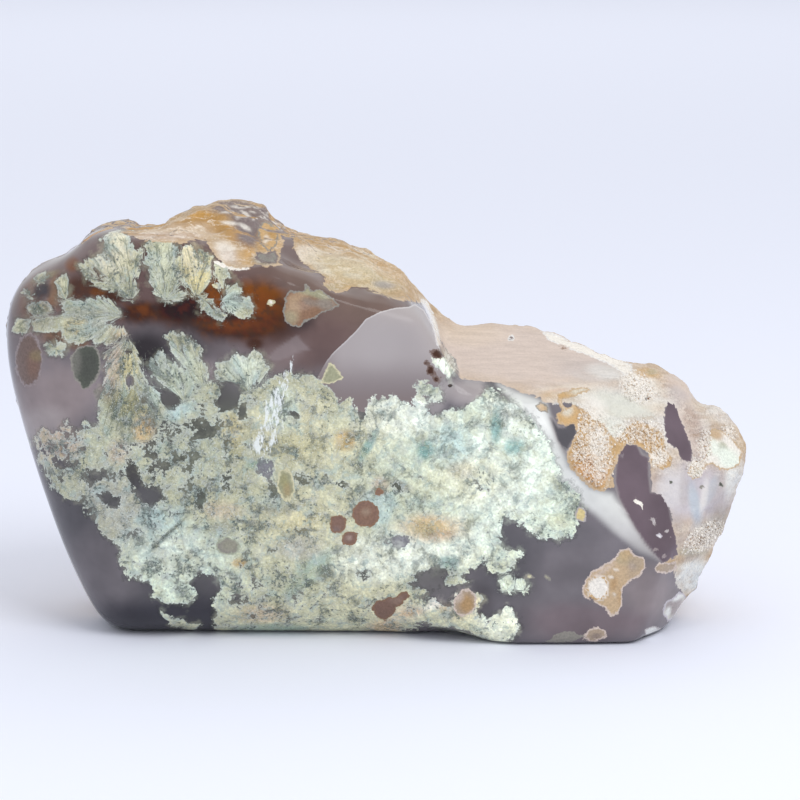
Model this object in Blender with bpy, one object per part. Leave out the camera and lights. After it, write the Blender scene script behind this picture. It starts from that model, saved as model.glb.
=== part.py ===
"""A moss agate: one natural stone, ground and polished on its front and left end, broken and rough elsewhere.

Sizes are in millimetres until the last step, which makes metres of them.
+X runs along the stone's length, +Y away from its polished face, and +Z up. It stands on a sawn base at z = 0.
"""

import math

import bmesh
import bpy
import numpy as np
from mathutils import Matrix, Vector, noise

MM = 0.001

LENGTH = 140.0
FRONT_DEPTH = 27.0
BACK_DEPTH = 25.0
SAW_ALLOWANCE = 4.0
HEART = (0.0, 36.0)

FRONT_CROWN_X = 25.0
FRONT_CROWN = 0.0008
FRONT_CROWN_Z = 0.0006
BACK_CROWN = 0.0026

SHARP_ROLL = 1.6
END_ROLL = 12.0
FOOT_ROLL = 19.0
BACK_ROLL = 15.0
BACK_FOOT_ROLL = 5.0

OUTLINE_STEPS = 3
ROLL_STEPS = 6
CAP_STEPS = 5

VOXEL = 0.9
POLISH_PASSES = 22
ROUGH_PASSES = 2
TRIANGLES = 10800

# The stone's widest outline, x and z, anticlockwise from the foot of the left end as seen from the front.
OUTLINE = [
    (-45.0, -2.6), (-20.0, -3.0), (6.0, -3.0), (24.0, -SAW_ALLOWANCE), (35.0, -SAW_ALLOWANCE),
    (51.0, -3.0),
    (55.9, 1.7), (58.6, 4.6), (62.6, 10.7), (65.9, 17.0), (68.3, 22.4), (69.6, 29.6), (69.7, 33.5),
    (67.6, 37.3), (63.7, 40.0), (60.9, 40.8), (59.0, 43.8), (55.8, 46.6), (50.6, 47.5),
    (45.4, 48.8), (40.8, 50.4), (35.3, 52.0), (29.6, 53.7), (23.2, 54.6), (16.0, 54.5),
    (12.3, 56.9), (9.2, 59.9), (6.2, 62.4), (4.7, 64.9), (2.4, 65.8), (-0.6, 68.2), (-4.8, 69.7),
    (-10.4, 71.2), (-15.1, 72.4), (-19.2, 74.8), (-21.9, 76.9), (-24.2, 78.0), (-29.1, 78.3),
    (-32.9, 77.6), (-36.6, 76.4), (-39.3, 75.3), (-43.1, 74.5), (-47.0, 75.4), (-51.7, 74.7),
    (-53.8, 73.1), (-55.6, 71.0), (-59.1, 68.8), (-63.2, 67.0), (-66.2, 64.6), (-68.0, 61.3), (-68.9, 56.5),
    (-68.6, 49.5), (-67.5, 44.1), (-65.6, 36.6), (-63.3, 28.6), (-60.0, 18.8), (-56.5, 10.5),
    (-53.0, 4.1), (-50.0, -0.4),
]

# Each break takes away what lies beyond all of its planes. A plane is a point and the way it faces.
FRONT_RIDGE = (15.2, -20.0, 48.4)
NOTCH_CORNER = (7.6, -16.0, 62.2)
BREAKS = {
    "notch": [(FRONT_RIDGE, (0.11, -0.25, 1.0)), (NOTCH_CORNER, (0.86, -0.02, 0.51))],
    "top_slope": [((-29.0, 0.0, 78.4), (0.27, -0.30, 1.0))],
    "crystal_slope": [((26.3, -25.0, 47.8), (0.51, -0.72, 0.47))],
    "low_end": [((53.8, -24.0, 16.1), (0.81, -0.53, -0.24))],
    "back_break": [((42.0, 22.0, 30.0), (0.55, 0.80, 0.22))],
    "back_shoulder": [((-50.0, 14.0, 58.0), (-0.45, 0.75, 0.50))],
}
BREAK_RELIEF = {
    "notch": (0.25, 9.0),
    "top_slope": (1.3, 7.0),
    "crystal_slope": (0.75, 5.0),
    "low_end": (0.6, 6.0),
    "back_break": (0.7, 12.0),
    "back_shoulder": (1.2, 10.0),
}
BREAK_REACH = 1.3

# Round shallow flakes, each the centre and radius of the ball that bites it out.
SCALLOPS = [
    ((-38.5, -17.0, 81.0), 6.8),
    ((-25.8, -23.0, 75.2), 6.6),
    ((-11.5, -16.0, 73.3), 5.6),
    ((-6.6, -24.0, 69.4), 5.2),
    ((3.5, -17.0, 68.6), 5.7),
]
SHELL_BREAK = ((10.0, -93.7, 46.0), 70.0)

# The chip under the front edge: the corner points of the piece that is missing.
FOOT_CHIP = [
    (4.0, -32.0, -6.0), (5.0, -32.0, 0.6), (9.0, -32.0, 4.8), (25.5, -32.0, 0.4), (27.0, -32.0, -6.0),
    (8.0, -15.0, -6.0), (21.0, -15.0, -6.0), (9.5, -17.0, 1.8), (17.0, -18.0, 1.0),
]

RIND_RELIEF = 1.5
RIND_LUMP = 13.0
RIND_GRAIN = 4.0
RIND_STARTS_AT = -7.0


def smooth_step(low, high, value):
    """0 at low, 1 at high, and a smooth rise between them."""
    share = min(1.0, max(0.0, (value - low) / (high - low)))
    return share * share * (3.0 - 2.0 * share)


def clear_scene():
    for old in list(bpy.data.objects):
        bpy.data.objects.remove(old, do_unlink=True)


def link(name, mesh):
    made = bpy.data.objects.new(name, mesh)
    bpy.context.scene.collection.objects.link(made)
    return made


def rounded_outline(points, steps):
    """A closed smooth curve through the points, as a list of (x, z)."""
    curve = []
    count = len(points)
    for i in range(count):
        before, start, end, after = (Vector(points[(i + k) % count]) for k in (-1, 0, 1, 2))
        for step in range(steps):
            t = step / steps
            curve.append(
                0.5 * (
                    2.0 * start
                    + (end - before) * t
                    + (2.0 * before - 5.0 * start + 4.0 * end - after) * t**2
                    + (3.0 * start - before - 3.0 * end + after) * t**3
                )
            )
    return curve


def front_roll(x, z):
    """How wide the polished front rounds over at this point of the outline."""
    end = smooth_step(-38.0, -64.0, x) * (END_ROLL - SHARP_ROLL)
    foot = smooth_step(26.0, 8.0, z) * smooth_step(26.0, 6.0, x) * smooth_step(-58.0, -44.0, x)
    foot *= FOOT_ROLL - SHARP_ROLL
    return SHARP_ROLL + max(end, foot)


def back_roll(z):
    return BACK_FOOT_ROLL + smooth_step(0.0, 22.0, z) * (BACK_ROLL - BACK_FOOT_ROLL)


def front_y(x, z):
    """The crowned front face. It lies furthest forward a little right of the middle."""
    return -FRONT_DEPTH + FRONT_CROWN * (x - FRONT_CROWN_X) ** 2 + FRONT_CROWN_Z * (z - 30.0) ** 2


def back_y(x, z):
    return BACK_DEPTH - BACK_CROWN * (x**2 + (z - HEART[1]) ** 2)


def half_rings(outline, face_y, roll_at):
    """Rings of points from the middle of one face out to the outline at y = 0."""
    rings = []
    heart = Vector(HEART)
    for step in range(1, CAP_STEPS + 1):
        ring = []
        for point in outline:
            inner = point + (heart - point).normalized() * roll_at(*point)
            place = heart + (inner - heart) * (step / CAP_STEPS)
            ring.append((place.x, face_y(*place), place.y))
        rings.append(ring)
    for step in range(1, ROLL_STEPS + 1):
        turn = math.radians(90.0 * step / ROLL_STEPS)
        ring = []
        for point in outline:
            roll = roll_at(*point)
            place = point + (heart - point).normalized() * roll * (1.0 - math.sin(turn))
            depth = face_y(*place)
            sunk = math.copysign(roll * (1.0 - math.cos(turn)), depth)
            ring.append((place.x, depth - sunk, place.y))
        rings.append(ring)
    return rings


def nodule():
    """The whole stone before anything broke off it."""
    outline = rounded_outline(OUTLINE, OUTLINE_STEPS)
    front = half_rings(outline, front_y, front_roll)
    back = half_rings(outline, back_y, lambda x, z: back_roll(z))
    rings = front + back[::-1]
    shape = bmesh.new()
    loops = [[shape.verts.new(point) for point in ring] for ring in rings]
    count = len(outline)
    for first, second in zip(loops, loops[1:]):
        for i in range(count):
            j = (i + 1) % count
            shape.faces.new((first[i], first[j], second[j], second[i]))
    for ring, face_y in ((loops[0], front_y), (loops[-1], back_y)):
        middle = shape.verts.new((HEART[0], face_y(*HEART), HEART[1]))
        for i in range(count):
            shape.faces.new((middle, ring[i], ring[(i + 1) % count]))
    bmesh.ops.recalc_face_normals(shape, faces=shape.faces)
    mesh = bpy.data.meshes.new("nodule")
    shape.to_mesh(mesh)
    shape.free()
    return link("nodule", mesh)


def wedge(name, planes):
    """A cutter that fills all of the space beyond these planes, near the stone."""
    shape = bmesh.new()
    bmesh.ops.create_cube(shape, size=4.0 * LENGTH)
    for point, facing in planes:
        bmesh.ops.bisect_plane(
            shape,
            geom=shape.verts[:] + shape.edges[:] + shape.faces[:],
            plane_co=point,
            plane_no=Vector(facing).normalized(),
            clear_inner=True,
        )
        bmesh.ops.holes_fill(shape, edges=[edge for edge in shape.edges if edge.is_boundary])
    bmesh.ops.recalc_face_normals(shape, faces=shape.faces)
    mesh = bpy.data.meshes.new(name)
    shape.to_mesh(mesh)
    shape.free()
    return link(name, mesh)


def ball(name, centre, radius, divisions):
    shape = bmesh.new()
    bmesh.ops.create_icosphere(
        shape, subdivisions=divisions, radius=radius, matrix=Matrix.Translation(centre)
    )
    mesh = bpy.data.meshes.new(name)
    shape.to_mesh(mesh)
    shape.free()
    return link(name, mesh)


def hull(name, points):
    shape = bmesh.new()
    for point in points:
        shape.verts.new(point)
    bmesh.ops.convex_hull(shape, input=shape.verts)
    bmesh.ops.recalc_face_normals(shape, faces=shape.faces)
    mesh = bpy.data.meshes.new(name)
    shape.to_mesh(mesh)
    shape.free()
    return link(name, mesh)


def cutters():
    made = [wedge(name, planes) for name, planes in BREAKS.items()]
    made += [ball(f"scallop_{i}", centre, radius, 3) for i, (centre, radius) in enumerate(SCALLOPS, 1)]
    made.append(ball("shell_break", *SHELL_BREAK, 5))
    made.append(hull("foot_chip", FOOT_CHIP))
    return made


def cut_and_remesh(body):
    """The body after its cuts, as an even mesh."""
    helpers = cutters()
    for cutter in helpers:
        cut = body.modifiers.new(cutter.name, "BOOLEAN")
        cut.operation = "DIFFERENCE"
        cut.object = cutter
    remesh = body.modifiers.new("even_mesh", "REMESH")
    remesh.mode = "VOXEL"
    remesh.voxel_size = VOXEL
    graph = bpy.context.evaluated_depsgraph_get()
    mesh = bpy.data.meshes.new_from_object(body.evaluated_get(graph))
    for helper in helpers + [body]:
        bpy.data.objects.remove(helper, do_unlink=True)
    return mesh


def nearest_break(point):
    """The break that this point lies on and how surely, from 0 to 1."""
    found = (None, 0.0)
    for name, planes in BREAKS.items():
        gap = min((point - Vector(at)).dot(Vector(facing).normalized()) for at, facing in planes)
        nearness = smooth_step(-BREAK_REACH, -0.3 * BREAK_REACH, gap)
        if nearness > found[1]:
            found = (name, nearness)
    return found


def roughness_of(point):
    """0 on polished stone, up to 1 on rind and breaks."""
    rind = smooth_step(RIND_STARTS_AT, RIND_STARTS_AT + 5.0, point.y)
    return max(rind, nearest_break(point)[1], scallop_share(point))


def scallop_share(point):
    """1 on the hollow skin of a scallop, 0 away from it."""
    gaps = [abs((point - Vector(centre)).length - radius) for centre, radius in SCALLOPS]
    return smooth_step(1.1, 0.4, min(gaps))


def relief_at(point):
    """How far the surface stands out here, in millimetres."""
    rind = smooth_step(RIND_STARTS_AT, RIND_STARTS_AT + 8.0, point.y)
    lumps = noise.fractal(point / RIND_LUMP, 0.9, 2.1, 3)
    grain = noise.fractal(point / RIND_GRAIN + Vector((9.0, 4.0, 7.0)), 0.8, 2.0, 3)
    out = rind * RIND_RELIEF * (lumps + 0.35 * grain)
    name, nearness = nearest_break(point)
    if name:
        height, size = BREAK_RELIEF[name]
        broken = height * (noise.fractal(point / size, 0.8, 2.2, 4) - 0.3 * abs(grain))
        out = out * (1.0 - nearness) + nearness * broken
    return out + scallop_share(point) * 0.35 * grain


def weather(mesh):
    """Polishes the smooth parts of the mesh, then raises the relief of the rough ones."""
    shape = bmesh.new()
    shape.from_mesh(mesh)
    shape.verts.ensure_lookup_table()
    edges = np.array([[v.index for v in edge.verts] for edge in shape.edges])
    places = np.array([vert.co[:] for vert in shape.verts])
    rough = np.array([roughness_of(vert.co) for vert in shape.verts])
    near = np.bincount(edges.ravel(), minlength=len(places))[:, None]
    for step in range(POLISH_PASSES):
        total = np.zeros_like(places)
        np.add.at(total, edges[:, 0], places[edges[:, 1]])
        np.add.at(total, edges[:, 1], places[edges[:, 0]])
        weight = np.where(step < ROUGH_PASSES, 1.0, 1.0 - rough)[:, None]
        places += 0.5 * weight * (total / near - places)
    for vert, place in zip(shape.verts, places):
        vert.co = place
    shape.normal_update()
    moves = [vert.normal * relief_at(vert.co) for vert in shape.verts]
    for vert, move in zip(shape.verts, moves):
        vert.co += move
    shape.to_mesh(mesh)
    shape.free()


def thin_out(mesh):
    """The same surface with fewer triangles, most of them where it is rough."""
    body = link("thinning", mesh)
    triangles = sum(len(face.vertices) - 2 for face in mesh.polygons)
    fewer = body.modifiers.new("fewer", "DECIMATE")
    fewer.ratio = TRIANGLES / triangles
    graph = bpy.context.evaluated_depsgraph_get()
    thinned = bpy.data.meshes.new_from_object(body.evaluated_get(graph))
    bpy.data.objects.remove(body, do_unlink=True)
    return thinned


def saw_base_and_centre(mesh):
    """Cuts the flat base, and puts the origin under the middle of the stone, in metres."""
    shape = bmesh.new()
    shape.from_mesh(mesh)
    bmesh.ops.bisect_plane(
        shape,
        geom=shape.verts[:] + shape.edges[:] + shape.faces[:],
        plane_co=(0.0, 0.0, 0.0),
        plane_no=(0.0, 0.0, -1.0),
        clear_outer=True,
    )
    bmesh.ops.holes_fill(shape, edges=[edge for edge in shape.edges if edge.is_boundary])
    bmesh.ops.triangulate(shape, faces=shape.faces)
    bmesh.ops.recalc_face_normals(shape, faces=shape.faces)
    places = np.array([vert.co[:] for vert in shape.verts])
    middle = (places.min(axis=0) + places.max(axis=0)) / 2.0
    print("moved by", [round(float(-v), 3) for v in middle[:2]], "mm to centre it")
    bmesh.ops.translate(shape, verts=shape.verts, vec=(-middle[0], -middle[1], 0.0))
    bmesh.ops.scale(shape, verts=shape.verts, vec=(MM, MM, MM))
    shape.to_mesh(mesh)
    shape.free()


def chalcedony():
    """Grey-lavender stone under pale green moss: the mean colour of the whole."""
    material = bpy.data.materials.new("moss_agate_chalcedony")
    material.use_nodes = True
    shader = material.node_tree.nodes["Principled BSDF"]
    shader.inputs["Base Color"].default_value = (0.42, 0.40, 0.34, 1.0)
    shader.inputs["Roughness"].default_value = 0.25
    shader.inputs["IOR"].default_value = 1.54
    return material


def main():
    clear_scene()
    mesh = cut_and_remesh(nodule())
    weather(mesh)
    mesh = thin_out(mesh)
    saw_base_and_centre(mesh)
    mesh.name = "moss_agate"
    mesh.materials.clear()
    mesh.materials.append(chalcedony())
    mesh.shade_smooth()
    mesh.set_sharp_from_angle(angle=math.radians(40.0))
    link("moss_agate", mesh)


main()
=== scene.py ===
# %% [markdown]
# A moss agate, finished on its front and left as it grew behind. The stone is one solid piece of chalcedony,
# a very fine quartz that lets a little light in. Green and cream minerals grew through it in branching
# clumps while it was still a gel, and look like moss pressed in smoky glass. The model of the solid is
# loaded first, because every colour below is laid out on that one shape and nothing may leave its box.

# %% Load the stone's solid
import math

import bpy
import numpy as np
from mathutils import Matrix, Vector, noise


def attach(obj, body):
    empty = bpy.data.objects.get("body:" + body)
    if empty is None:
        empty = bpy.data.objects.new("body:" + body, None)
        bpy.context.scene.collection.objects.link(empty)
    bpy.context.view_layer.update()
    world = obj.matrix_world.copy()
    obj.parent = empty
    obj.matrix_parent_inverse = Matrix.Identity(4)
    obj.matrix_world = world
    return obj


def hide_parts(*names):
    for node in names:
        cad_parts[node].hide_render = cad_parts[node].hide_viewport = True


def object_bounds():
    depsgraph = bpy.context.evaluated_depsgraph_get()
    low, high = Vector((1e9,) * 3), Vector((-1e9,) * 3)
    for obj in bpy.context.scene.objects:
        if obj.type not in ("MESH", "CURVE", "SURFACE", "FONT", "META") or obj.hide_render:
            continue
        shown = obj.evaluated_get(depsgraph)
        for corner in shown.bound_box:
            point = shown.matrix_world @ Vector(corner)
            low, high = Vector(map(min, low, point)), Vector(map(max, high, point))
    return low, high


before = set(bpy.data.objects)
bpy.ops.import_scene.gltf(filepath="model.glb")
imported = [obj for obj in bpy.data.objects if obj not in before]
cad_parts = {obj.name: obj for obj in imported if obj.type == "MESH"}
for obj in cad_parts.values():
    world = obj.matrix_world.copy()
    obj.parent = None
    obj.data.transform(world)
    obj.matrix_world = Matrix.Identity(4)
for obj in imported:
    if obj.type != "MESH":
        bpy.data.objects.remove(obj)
cad_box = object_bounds()
print("solid:", [round(float(high - low) * 1000, 1) for low, high in zip(*cad_box)], "mm")

# %% [markdown]
# The camera stands half a metre away with a long lens and looks down by ten degrees. A long lens keeps the
# stone's proportions honest. Its numbers are also used to find where a point of the stone falls in the
# picture, so each marking can be placed where the eye sees it and still be laid on the surface itself.

# %% Camera
MM = 0.001
PICTURE_PX = 800
MM_PER_PX = 0.19
CAMERA_DISTANCE = 520.0
PITCH = math.radians(10.0)
AIM = (4.33, 0.449, 41.2)
SENSOR = 36.0

away = Vector((0.0, -math.cos(PITCH), math.sin(PITCH)))
camera_data = bpy.data.cameras.new("camera")
camera_data.sensor_width = SENSOR
camera_data.lens = SENSOR * CAMERA_DISTANCE / (PICTURE_PX * MM_PER_PX)
camera = bpy.data.objects.new("camera", camera_data)
camera.location = (Vector(AIM) + away * CAMERA_DISTANCE) * MM
camera.rotation_euler = (math.radians(90.0) - PITCH, 0.0, 0.0)
bpy.context.scene.collection.objects.link(camera)
bpy.context.scene.camera = camera
print("lens:", round(camera_data.lens, 1), "mm")


# %% [markdown]
# Colours are written as hex values, as a painter would give them. Blender works in linear light, so one
# function turns them. The list is the stone's whole palette: grounds, moss, stains, rind and quartz. A
# polished face also mirrors a little of the white sky, which veils its colours. POLISH_GLARE is that veil,
# and it is taken off the polished colours later, so that they come out as picked.

# %% Palette
def linear(code):
    """An sRGB hex colour as linear red, green and blue."""
    parts = [int(code[i:i + 2], 16) / 255 for i in (1, 3, 5)]
    return tuple(part / 12.92 if part <= 0.04045 else ((part + 0.055) / 1.055) ** 2.4 for part in parts)


PALETTE = {
    "plum": "#6B5855", "plum_pale": "#8D7F7E", "umber": "#75635C", "night": "#3B3739", "slate": "#5C5A5E",
    "slate_deep": "#45444A", "slate_pale": "#787377", "mauve": "#796D71", "smoke": "#938787",
    "fog": "#B0A9A8", "lavender": "#A79F9E", "lavender_deep": "#857B7B", "milk": "#DEDFDB", "rust": "#7C481B",
    "rust_deep": "#43281B", "brick": "#7F6458", "cream": "#CDC7A4", "butter": "#D2C08A", "mint": "#C6D4C4",
    "aqua": "#B4CCC9", "snow": "#E2E8DB", "sage": "#A3A894", "olive": "#98905F", "moss_dark": "#55594F",
    "teal": "#568887", "grey_lilac": "#96959B", "blush": "#B9A393", "ash": "#8C8880", "ochre": "#AE8548",
    "honey": "#C4A273", "bark": "#8A6B55", "tan": "#BFA686", "shell": "#D5C3AE", "bone": "#E8E2D8",
    "clay": "#CDBDB2", "quartz": "#DDDAD6", "rock": "#7C6F6D", "orange": "#B87B42", "ink": "#35302F",
    "leaf": "#9C9C80", "gap": "#65675E", "sand": "#A98558", "opal": "#BDB7BD", "opal_blue": "#AEBAC4",
    "pearl": "#D2D1C5", "fawn": "#A99783", "window": "#6C5F66", "amber": "#C9984E", "straw": "#DED09A",
    "char": "#2B1C16",
}
COLOUR = {name: np.array(linear(code)) for name, code in PALETTE.items()}
POLISH_GLARE = 0.017
print(len(PALETTE), "colours")

# %% [markdown]
# The stage is a large pale floor under a white sky. One big soft light hangs high on the right, and a
# second one lights only the floor far behind, so that the distance stays bright. Polished stone is a mirror
# first and a colour second, so broad lights matter: they give the long, calm reflections that a ground face
# shows, with a soft shadow on the left.

# %% Floor, sky and lights
floor_paint = bpy.data.materials.new("matt_paper_floor")
floor_paint.use_nodes = True
floor_shader = floor_paint.node_tree.nodes["Principled BSDF"]
floor_shader.inputs["Base Color"].default_value = (*linear("#EBEEFA"), 1.0)
floor_shader.inputs["Roughness"].default_value = 0.9
floor_shader.inputs["Specular IOR Level"].default_value = 0.1

bpy.ops.object.select_all(action="DESELECT")
bpy.ops.mesh.primitive_plane_add(size=60.0, location=(0.0, 0.0, 0.0))
floor = bpy.context.object
floor.name = "floor"
floor.data.materials.append(floor_paint)

sky = bpy.data.worlds.new("white_sky")
sky.use_nodes = True
sky.node_tree.nodes["Background"].inputs["Color"].default_value = (0.955, 0.97, 1.0, 1.0)
sky.node_tree.nodes["Background"].inputs["Strength"].default_value = 0.84
bpy.context.scene.world = sky
bpy.context.scene.view_settings.view_transform = "Standard"


def soft_light(name, place, aim, size, power):
    """A square area light, in metres and watts."""
    lamp = bpy.data.lights.new(name, "AREA")
    lamp.size = size
    lamp.energy = power
    made = bpy.data.objects.new(name, lamp)
    made.location = place
    made.rotation_euler = (Vector(aim) - Vector(place)).to_track_quat("-Z", "Y").to_euler()
    bpy.context.scene.collection.objects.link(made)
    return made


soft_light("key_light", (0.42, -0.55, 0.7), (0.0, 0.0, 0.03), 0.5, 3.7)
soft_light("background_light", (0.0, 2.6, 2.2), (0.0, 2.6, 0.0), 3.0, 12.0)

# %% [markdown]
# The solid is a coarse faceted model. The stone that is seen starts as a copy of it: doubled corners are
# merged, and a voxel remesh gives it an even skin of small faces. Smoothing then grinds the polished parts
# flat, while a vertex group protects everything that is rough.

# %% A fine copy of the solid
VOXEL = 0.00046

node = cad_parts["moss_agate"]
stone = bpy.data.objects.new("moss_agate_stone", node.data.copy())
bpy.context.scene.collection.objects.link(stone)
bpy.ops.object.select_all(action="DESELECT")
bpy.context.view_layer.objects.active = stone
stone.select_set(True)
bpy.ops.object.mode_set(mode="EDIT")
bpy.ops.mesh.select_all(action="SELECT")
bpy.ops.mesh.remove_doubles(threshold=0.00001)
bpy.ops.object.mode_set(mode="OBJECT")
stone.data.materials.clear()
remesh = stone.modifiers.new("even_skin", "REMESH")
remesh.mode = "VOXEL"
remesh.voxel_size = VOXEL
bpy.ops.object.modifier_apply(modifier=remesh.name)
print("fine copy:", len(stone.data.vertices), "points")


# %% [markdown]
# Each point of the stone is looked up in the picture. The same numbers that aim the camera give its place
# there, and the angle of its face says whether the camera sees it at all. Distances inside the picture are
# in pixels, 0.19 mm each.

# %% Where each point is seen
def read_points(thing):
    """Places in mm, directions, and the place in the picture of every point of a mesh."""
    count = len(thing.data.vertices)
    places = np.zeros(count * 3)
    thing.data.vertices.foreach_get("co", places)
    places = places.reshape(-1, 3) / MM
    directions = np.zeros(count * 3, np.float32)
    thing.data.vertex_normals.foreach_get("vector", directions)
    directions = directions.reshape(-1, 3).astype(float)
    from_aim = places - np.array(AIM)
    depth = CAMERA_DISTANCE - from_aim @ np.array(away)
    up = np.array((0.0, math.sin(PITCH), math.cos(PITCH)))
    middle = PICTURE_PX / 2
    seen_x = middle + from_aim[:, 0] / MM_PER_PX * CAMERA_DISTANCE / depth
    seen_y = middle - from_aim @ up / MM_PER_PX * CAMERA_DISTANCE / depth
    to_camera = np.array(away) * CAMERA_DISTANCE - from_aim
    to_camera /= np.linalg.norm(to_camera, axis=1)[:, None]
    facing = (directions * to_camera).sum(axis=1)
    return places, directions, seen_x, seen_y, facing


def rise(low, high, value):
    """0 at low, 1 at high and a smooth rise between them."""
    share = np.clip((value - low) / (high - low), 0.0, 1.0)
    return share * share * (3.0 - 2.0 * share)


def inside_oval(x, y, middle_x, middle_y, radius_x, radius_y, turn=0.0):
    """How far inside an oval each point is, in pixels. Outside it the answer is negative."""
    angle = math.radians(turn)
    along = (x - middle_x) * math.cos(angle) + (y - middle_y) * math.sin(angle)
    across = (y - middle_y) * math.cos(angle) - (x - middle_x) * math.sin(angle)
    return (1.0 - np.hypot(along / radius_x, across / radius_y)) * min(radius_x, radius_y)


def inside_outline(x, y, corners):
    """How far inside a closed outline each point is, in pixels. Outside it the answer is negative."""
    nearest = np.full(len(x), 1e9)
    inside = np.zeros(len(x), bool)
    for (x0, y0), (x1, y1) in zip(corners, corners[1:] + corners[:1]):
        run_x, run_y = x1 - x0, y1 - y0
        share = ((x - x0) * run_x + (y - y0) * run_y) / (run_x**2 + run_y**2)
        share = np.clip(share, 0.0, 1.0)
        nearest = np.minimum(nearest, np.hypot(x - x0 - share * run_x, y - y0 - share * run_y))
        if y0 != y1:
            crosses = (y0 > y) != (y1 > y)
            inside ^= crosses & (x < x0 + (y - y0) * run_x / run_y)
    return np.where(inside, nearest, -nearest)


# %% [markdown]
# Some of the stone is rough. Natural rind covers the back and the rear half of both ends. From the front,
# rough skin shows along the top, on the matt face of the notch, and all over the broken slope on the right.
# These outlines say where, and dark glassy windows are left open in the slope. Where the ground front ends
# and the rind begins, 6.5 mm in front of the middle, the border wanders by a few millimetres.

# %% Rough areas of the front
TOP_SKIN = [
    (112, 214), (113, 227), (121, 233), (131, 236), (145, 240), (162, 242), (182, 243), (196, 240),
    (206, 240), (211, 249), (217, 257), (224, 264), (231, 269), (250, 268), (256, 264), (266, 267),
    (278, 265), (290, 264), (305, 271), (315, 278), (322, 284), (329, 290), (338, 293), (346, 291),
    (352, 287), (366, 288), (380, 294), (394, 299), (408, 301), (424, 303), (430, 290), (400, 250),
    (340, 225), (300, 215), (262, 190), (160, 190),
]
LEFT_TOP_SKIN = [(78, 244), (84, 241), (92, 231), (97, 222), (85, 218), (70, 240)]
NOTCH_FACE = [
    (424, 298), (432, 316), (438, 336), (446, 350), (456, 360), (460, 378), (480, 381), (502, 384),
    (524, 393), (546, 398), (566, 388), (592, 384), (640, 388), (660, 360), (600, 330), (520, 310),
    (440, 296),
]
RIGHT_SLOPE = [
    (540, 396), (546, 403), (560, 404), (572, 402), (577, 412), (577, 424), (576, 434), (573, 444),
    (567, 454), (570, 467), (580, 478), (591, 488), (603, 492), (613, 487), (613, 474), (617, 461),
    (626, 446), (638, 442), (648, 452), (651, 468), (652, 492), (664, 497), (671, 512), (673, 530),
    (678, 548), (664, 561), (674, 568), (676, 584), (684, 594), (686, 606), (760, 560), (770, 430),
    (700, 350), (640, 350), (600, 372),
]
SMOOTH_BAND = [
    (258, 208), (268, 212), (273, 219), (284, 228), (293, 239), (294, 248), (298, 258), (311, 268),
    (325, 277), (323, 286), (300, 274), (286, 269), (279, 262), (281, 249), (284, 241), (279, 231),
    (268, 222),
]
DRUSE_LOBES = [
    (556, 393), (568, 390), (584, 386), (590, 390), (576, 396), (562, 400), (566, 408), (574, 404),
    (584, 409), (593, 419), (603, 423), (609, 432), (616, 438), (622, 434), (628, 425), (638, 421),
    (651, 425), (659, 431), (665, 438), (665, 450), (673, 457), (671, 467), (660, 470), (652, 464),
    (648, 452), (638, 446), (627, 444), (619, 454), (614, 467), (609, 480), (606, 489), (595, 491),
    (587, 483), (576, 473), (568, 464), (567, 454), (571, 444), (576, 433), (574, 424), (566, 426),
    (557, 423), (556, 414), (562, 410), (558, 402),
]
SLOPE_WINDOWS = [
    [(551, 418), (558, 428), (565, 428), (569, 422), (575, 424), (576, 434), (570, 444), (566, 452),
     (558, 440)],
    [(667, 400), (675, 404), (681, 420), (688, 437), (692, 450), (691, 462), (682, 460), (676, 448),
     (667, 442), (664, 428), (665, 412)],
]
RIND_STARTS_AT = -6.5
RIND_WANDERS = 3.0
SEEN_ABOVE = 0.04


def blotches(size, shift=(0.0, 0.0, 0.0), contrast=0.8):
    """Cloudy noise at every point, with blotches of a size in mm."""
    return np.array([noise.fractal(Vector(p) / size + Vector(shift), contrast, 2.1, 3) for p in places])


def inside_rough(far_outside, left_open):
    """How far inside the rough areas each point is, in pixels, with some parts left open."""
    found = np.full(len(px), far_outside)
    for outline in (TOP_SKIN, LEFT_TOP_SKIN, NOTCH_FACE, RIGHT_SLOPE):
        found = np.maximum(found, inside_outline(px, py, outline))
    for outline in left_open:
        found = np.minimum(found, -inside_outline(px, py, outline))
    return found


places, directions, px, py, facing = read_points(stone)
rind_px = (places[:, 1] - RIND_STARTS_AT + RIND_WANDERS * blotches(9.0)) / MM_PER_PX
rough_px = inside_rough(-40.0, [SMOOTH_BAND, *SLOPE_WINDOWS])
round_the_edge = np.maximum(rind_px, np.minimum(rough_px, 4.0 * rind_px + 8.0))
rough_px = np.where(facing > SEEN_ABOVE, rough_px, round_the_edge)
rough = rise(-4.0, 4.0, rough_px)
print("rough share:", round(float(rough.mean()), 2))

# %% [markdown]
# Grinding: a Smooth modifier with many passes takes the voxel steps out of the polished parts. Its vertex
# group holds 1 where the stone is polished and 0 where it is rough, which keeps the broken edges crisp. The
# group is filled in ten steps, one call for each.

# %% Grind the polished parts
STEPS = 10
LIGHT_PASSES, HARD_PASSES = 3, 160

polished_group = stone.vertex_groups.new(name="polished")
for level in range(1, STEPS + 1):
    chosen = np.nonzero(np.round((1.0 - rough) * STEPS) == level)[0]
    if len(chosen):
        polished_group.add([int(i) for i in chosen], level / STEPS, "REPLACE")
for passes, group in ((LIGHT_PASSES, ""), (HARD_PASSES, "polished")):
    grind = stone.modifiers.new("grind", "SMOOTH")
    grind.factor = 0.5
    grind.iterations = passes
    grind.vertex_group = group
    bpy.ops.object.modifier_apply(modifier=grind.name)
print("ground:", round(float((1.0 - rough).mean()), 2), "of all points")

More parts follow.
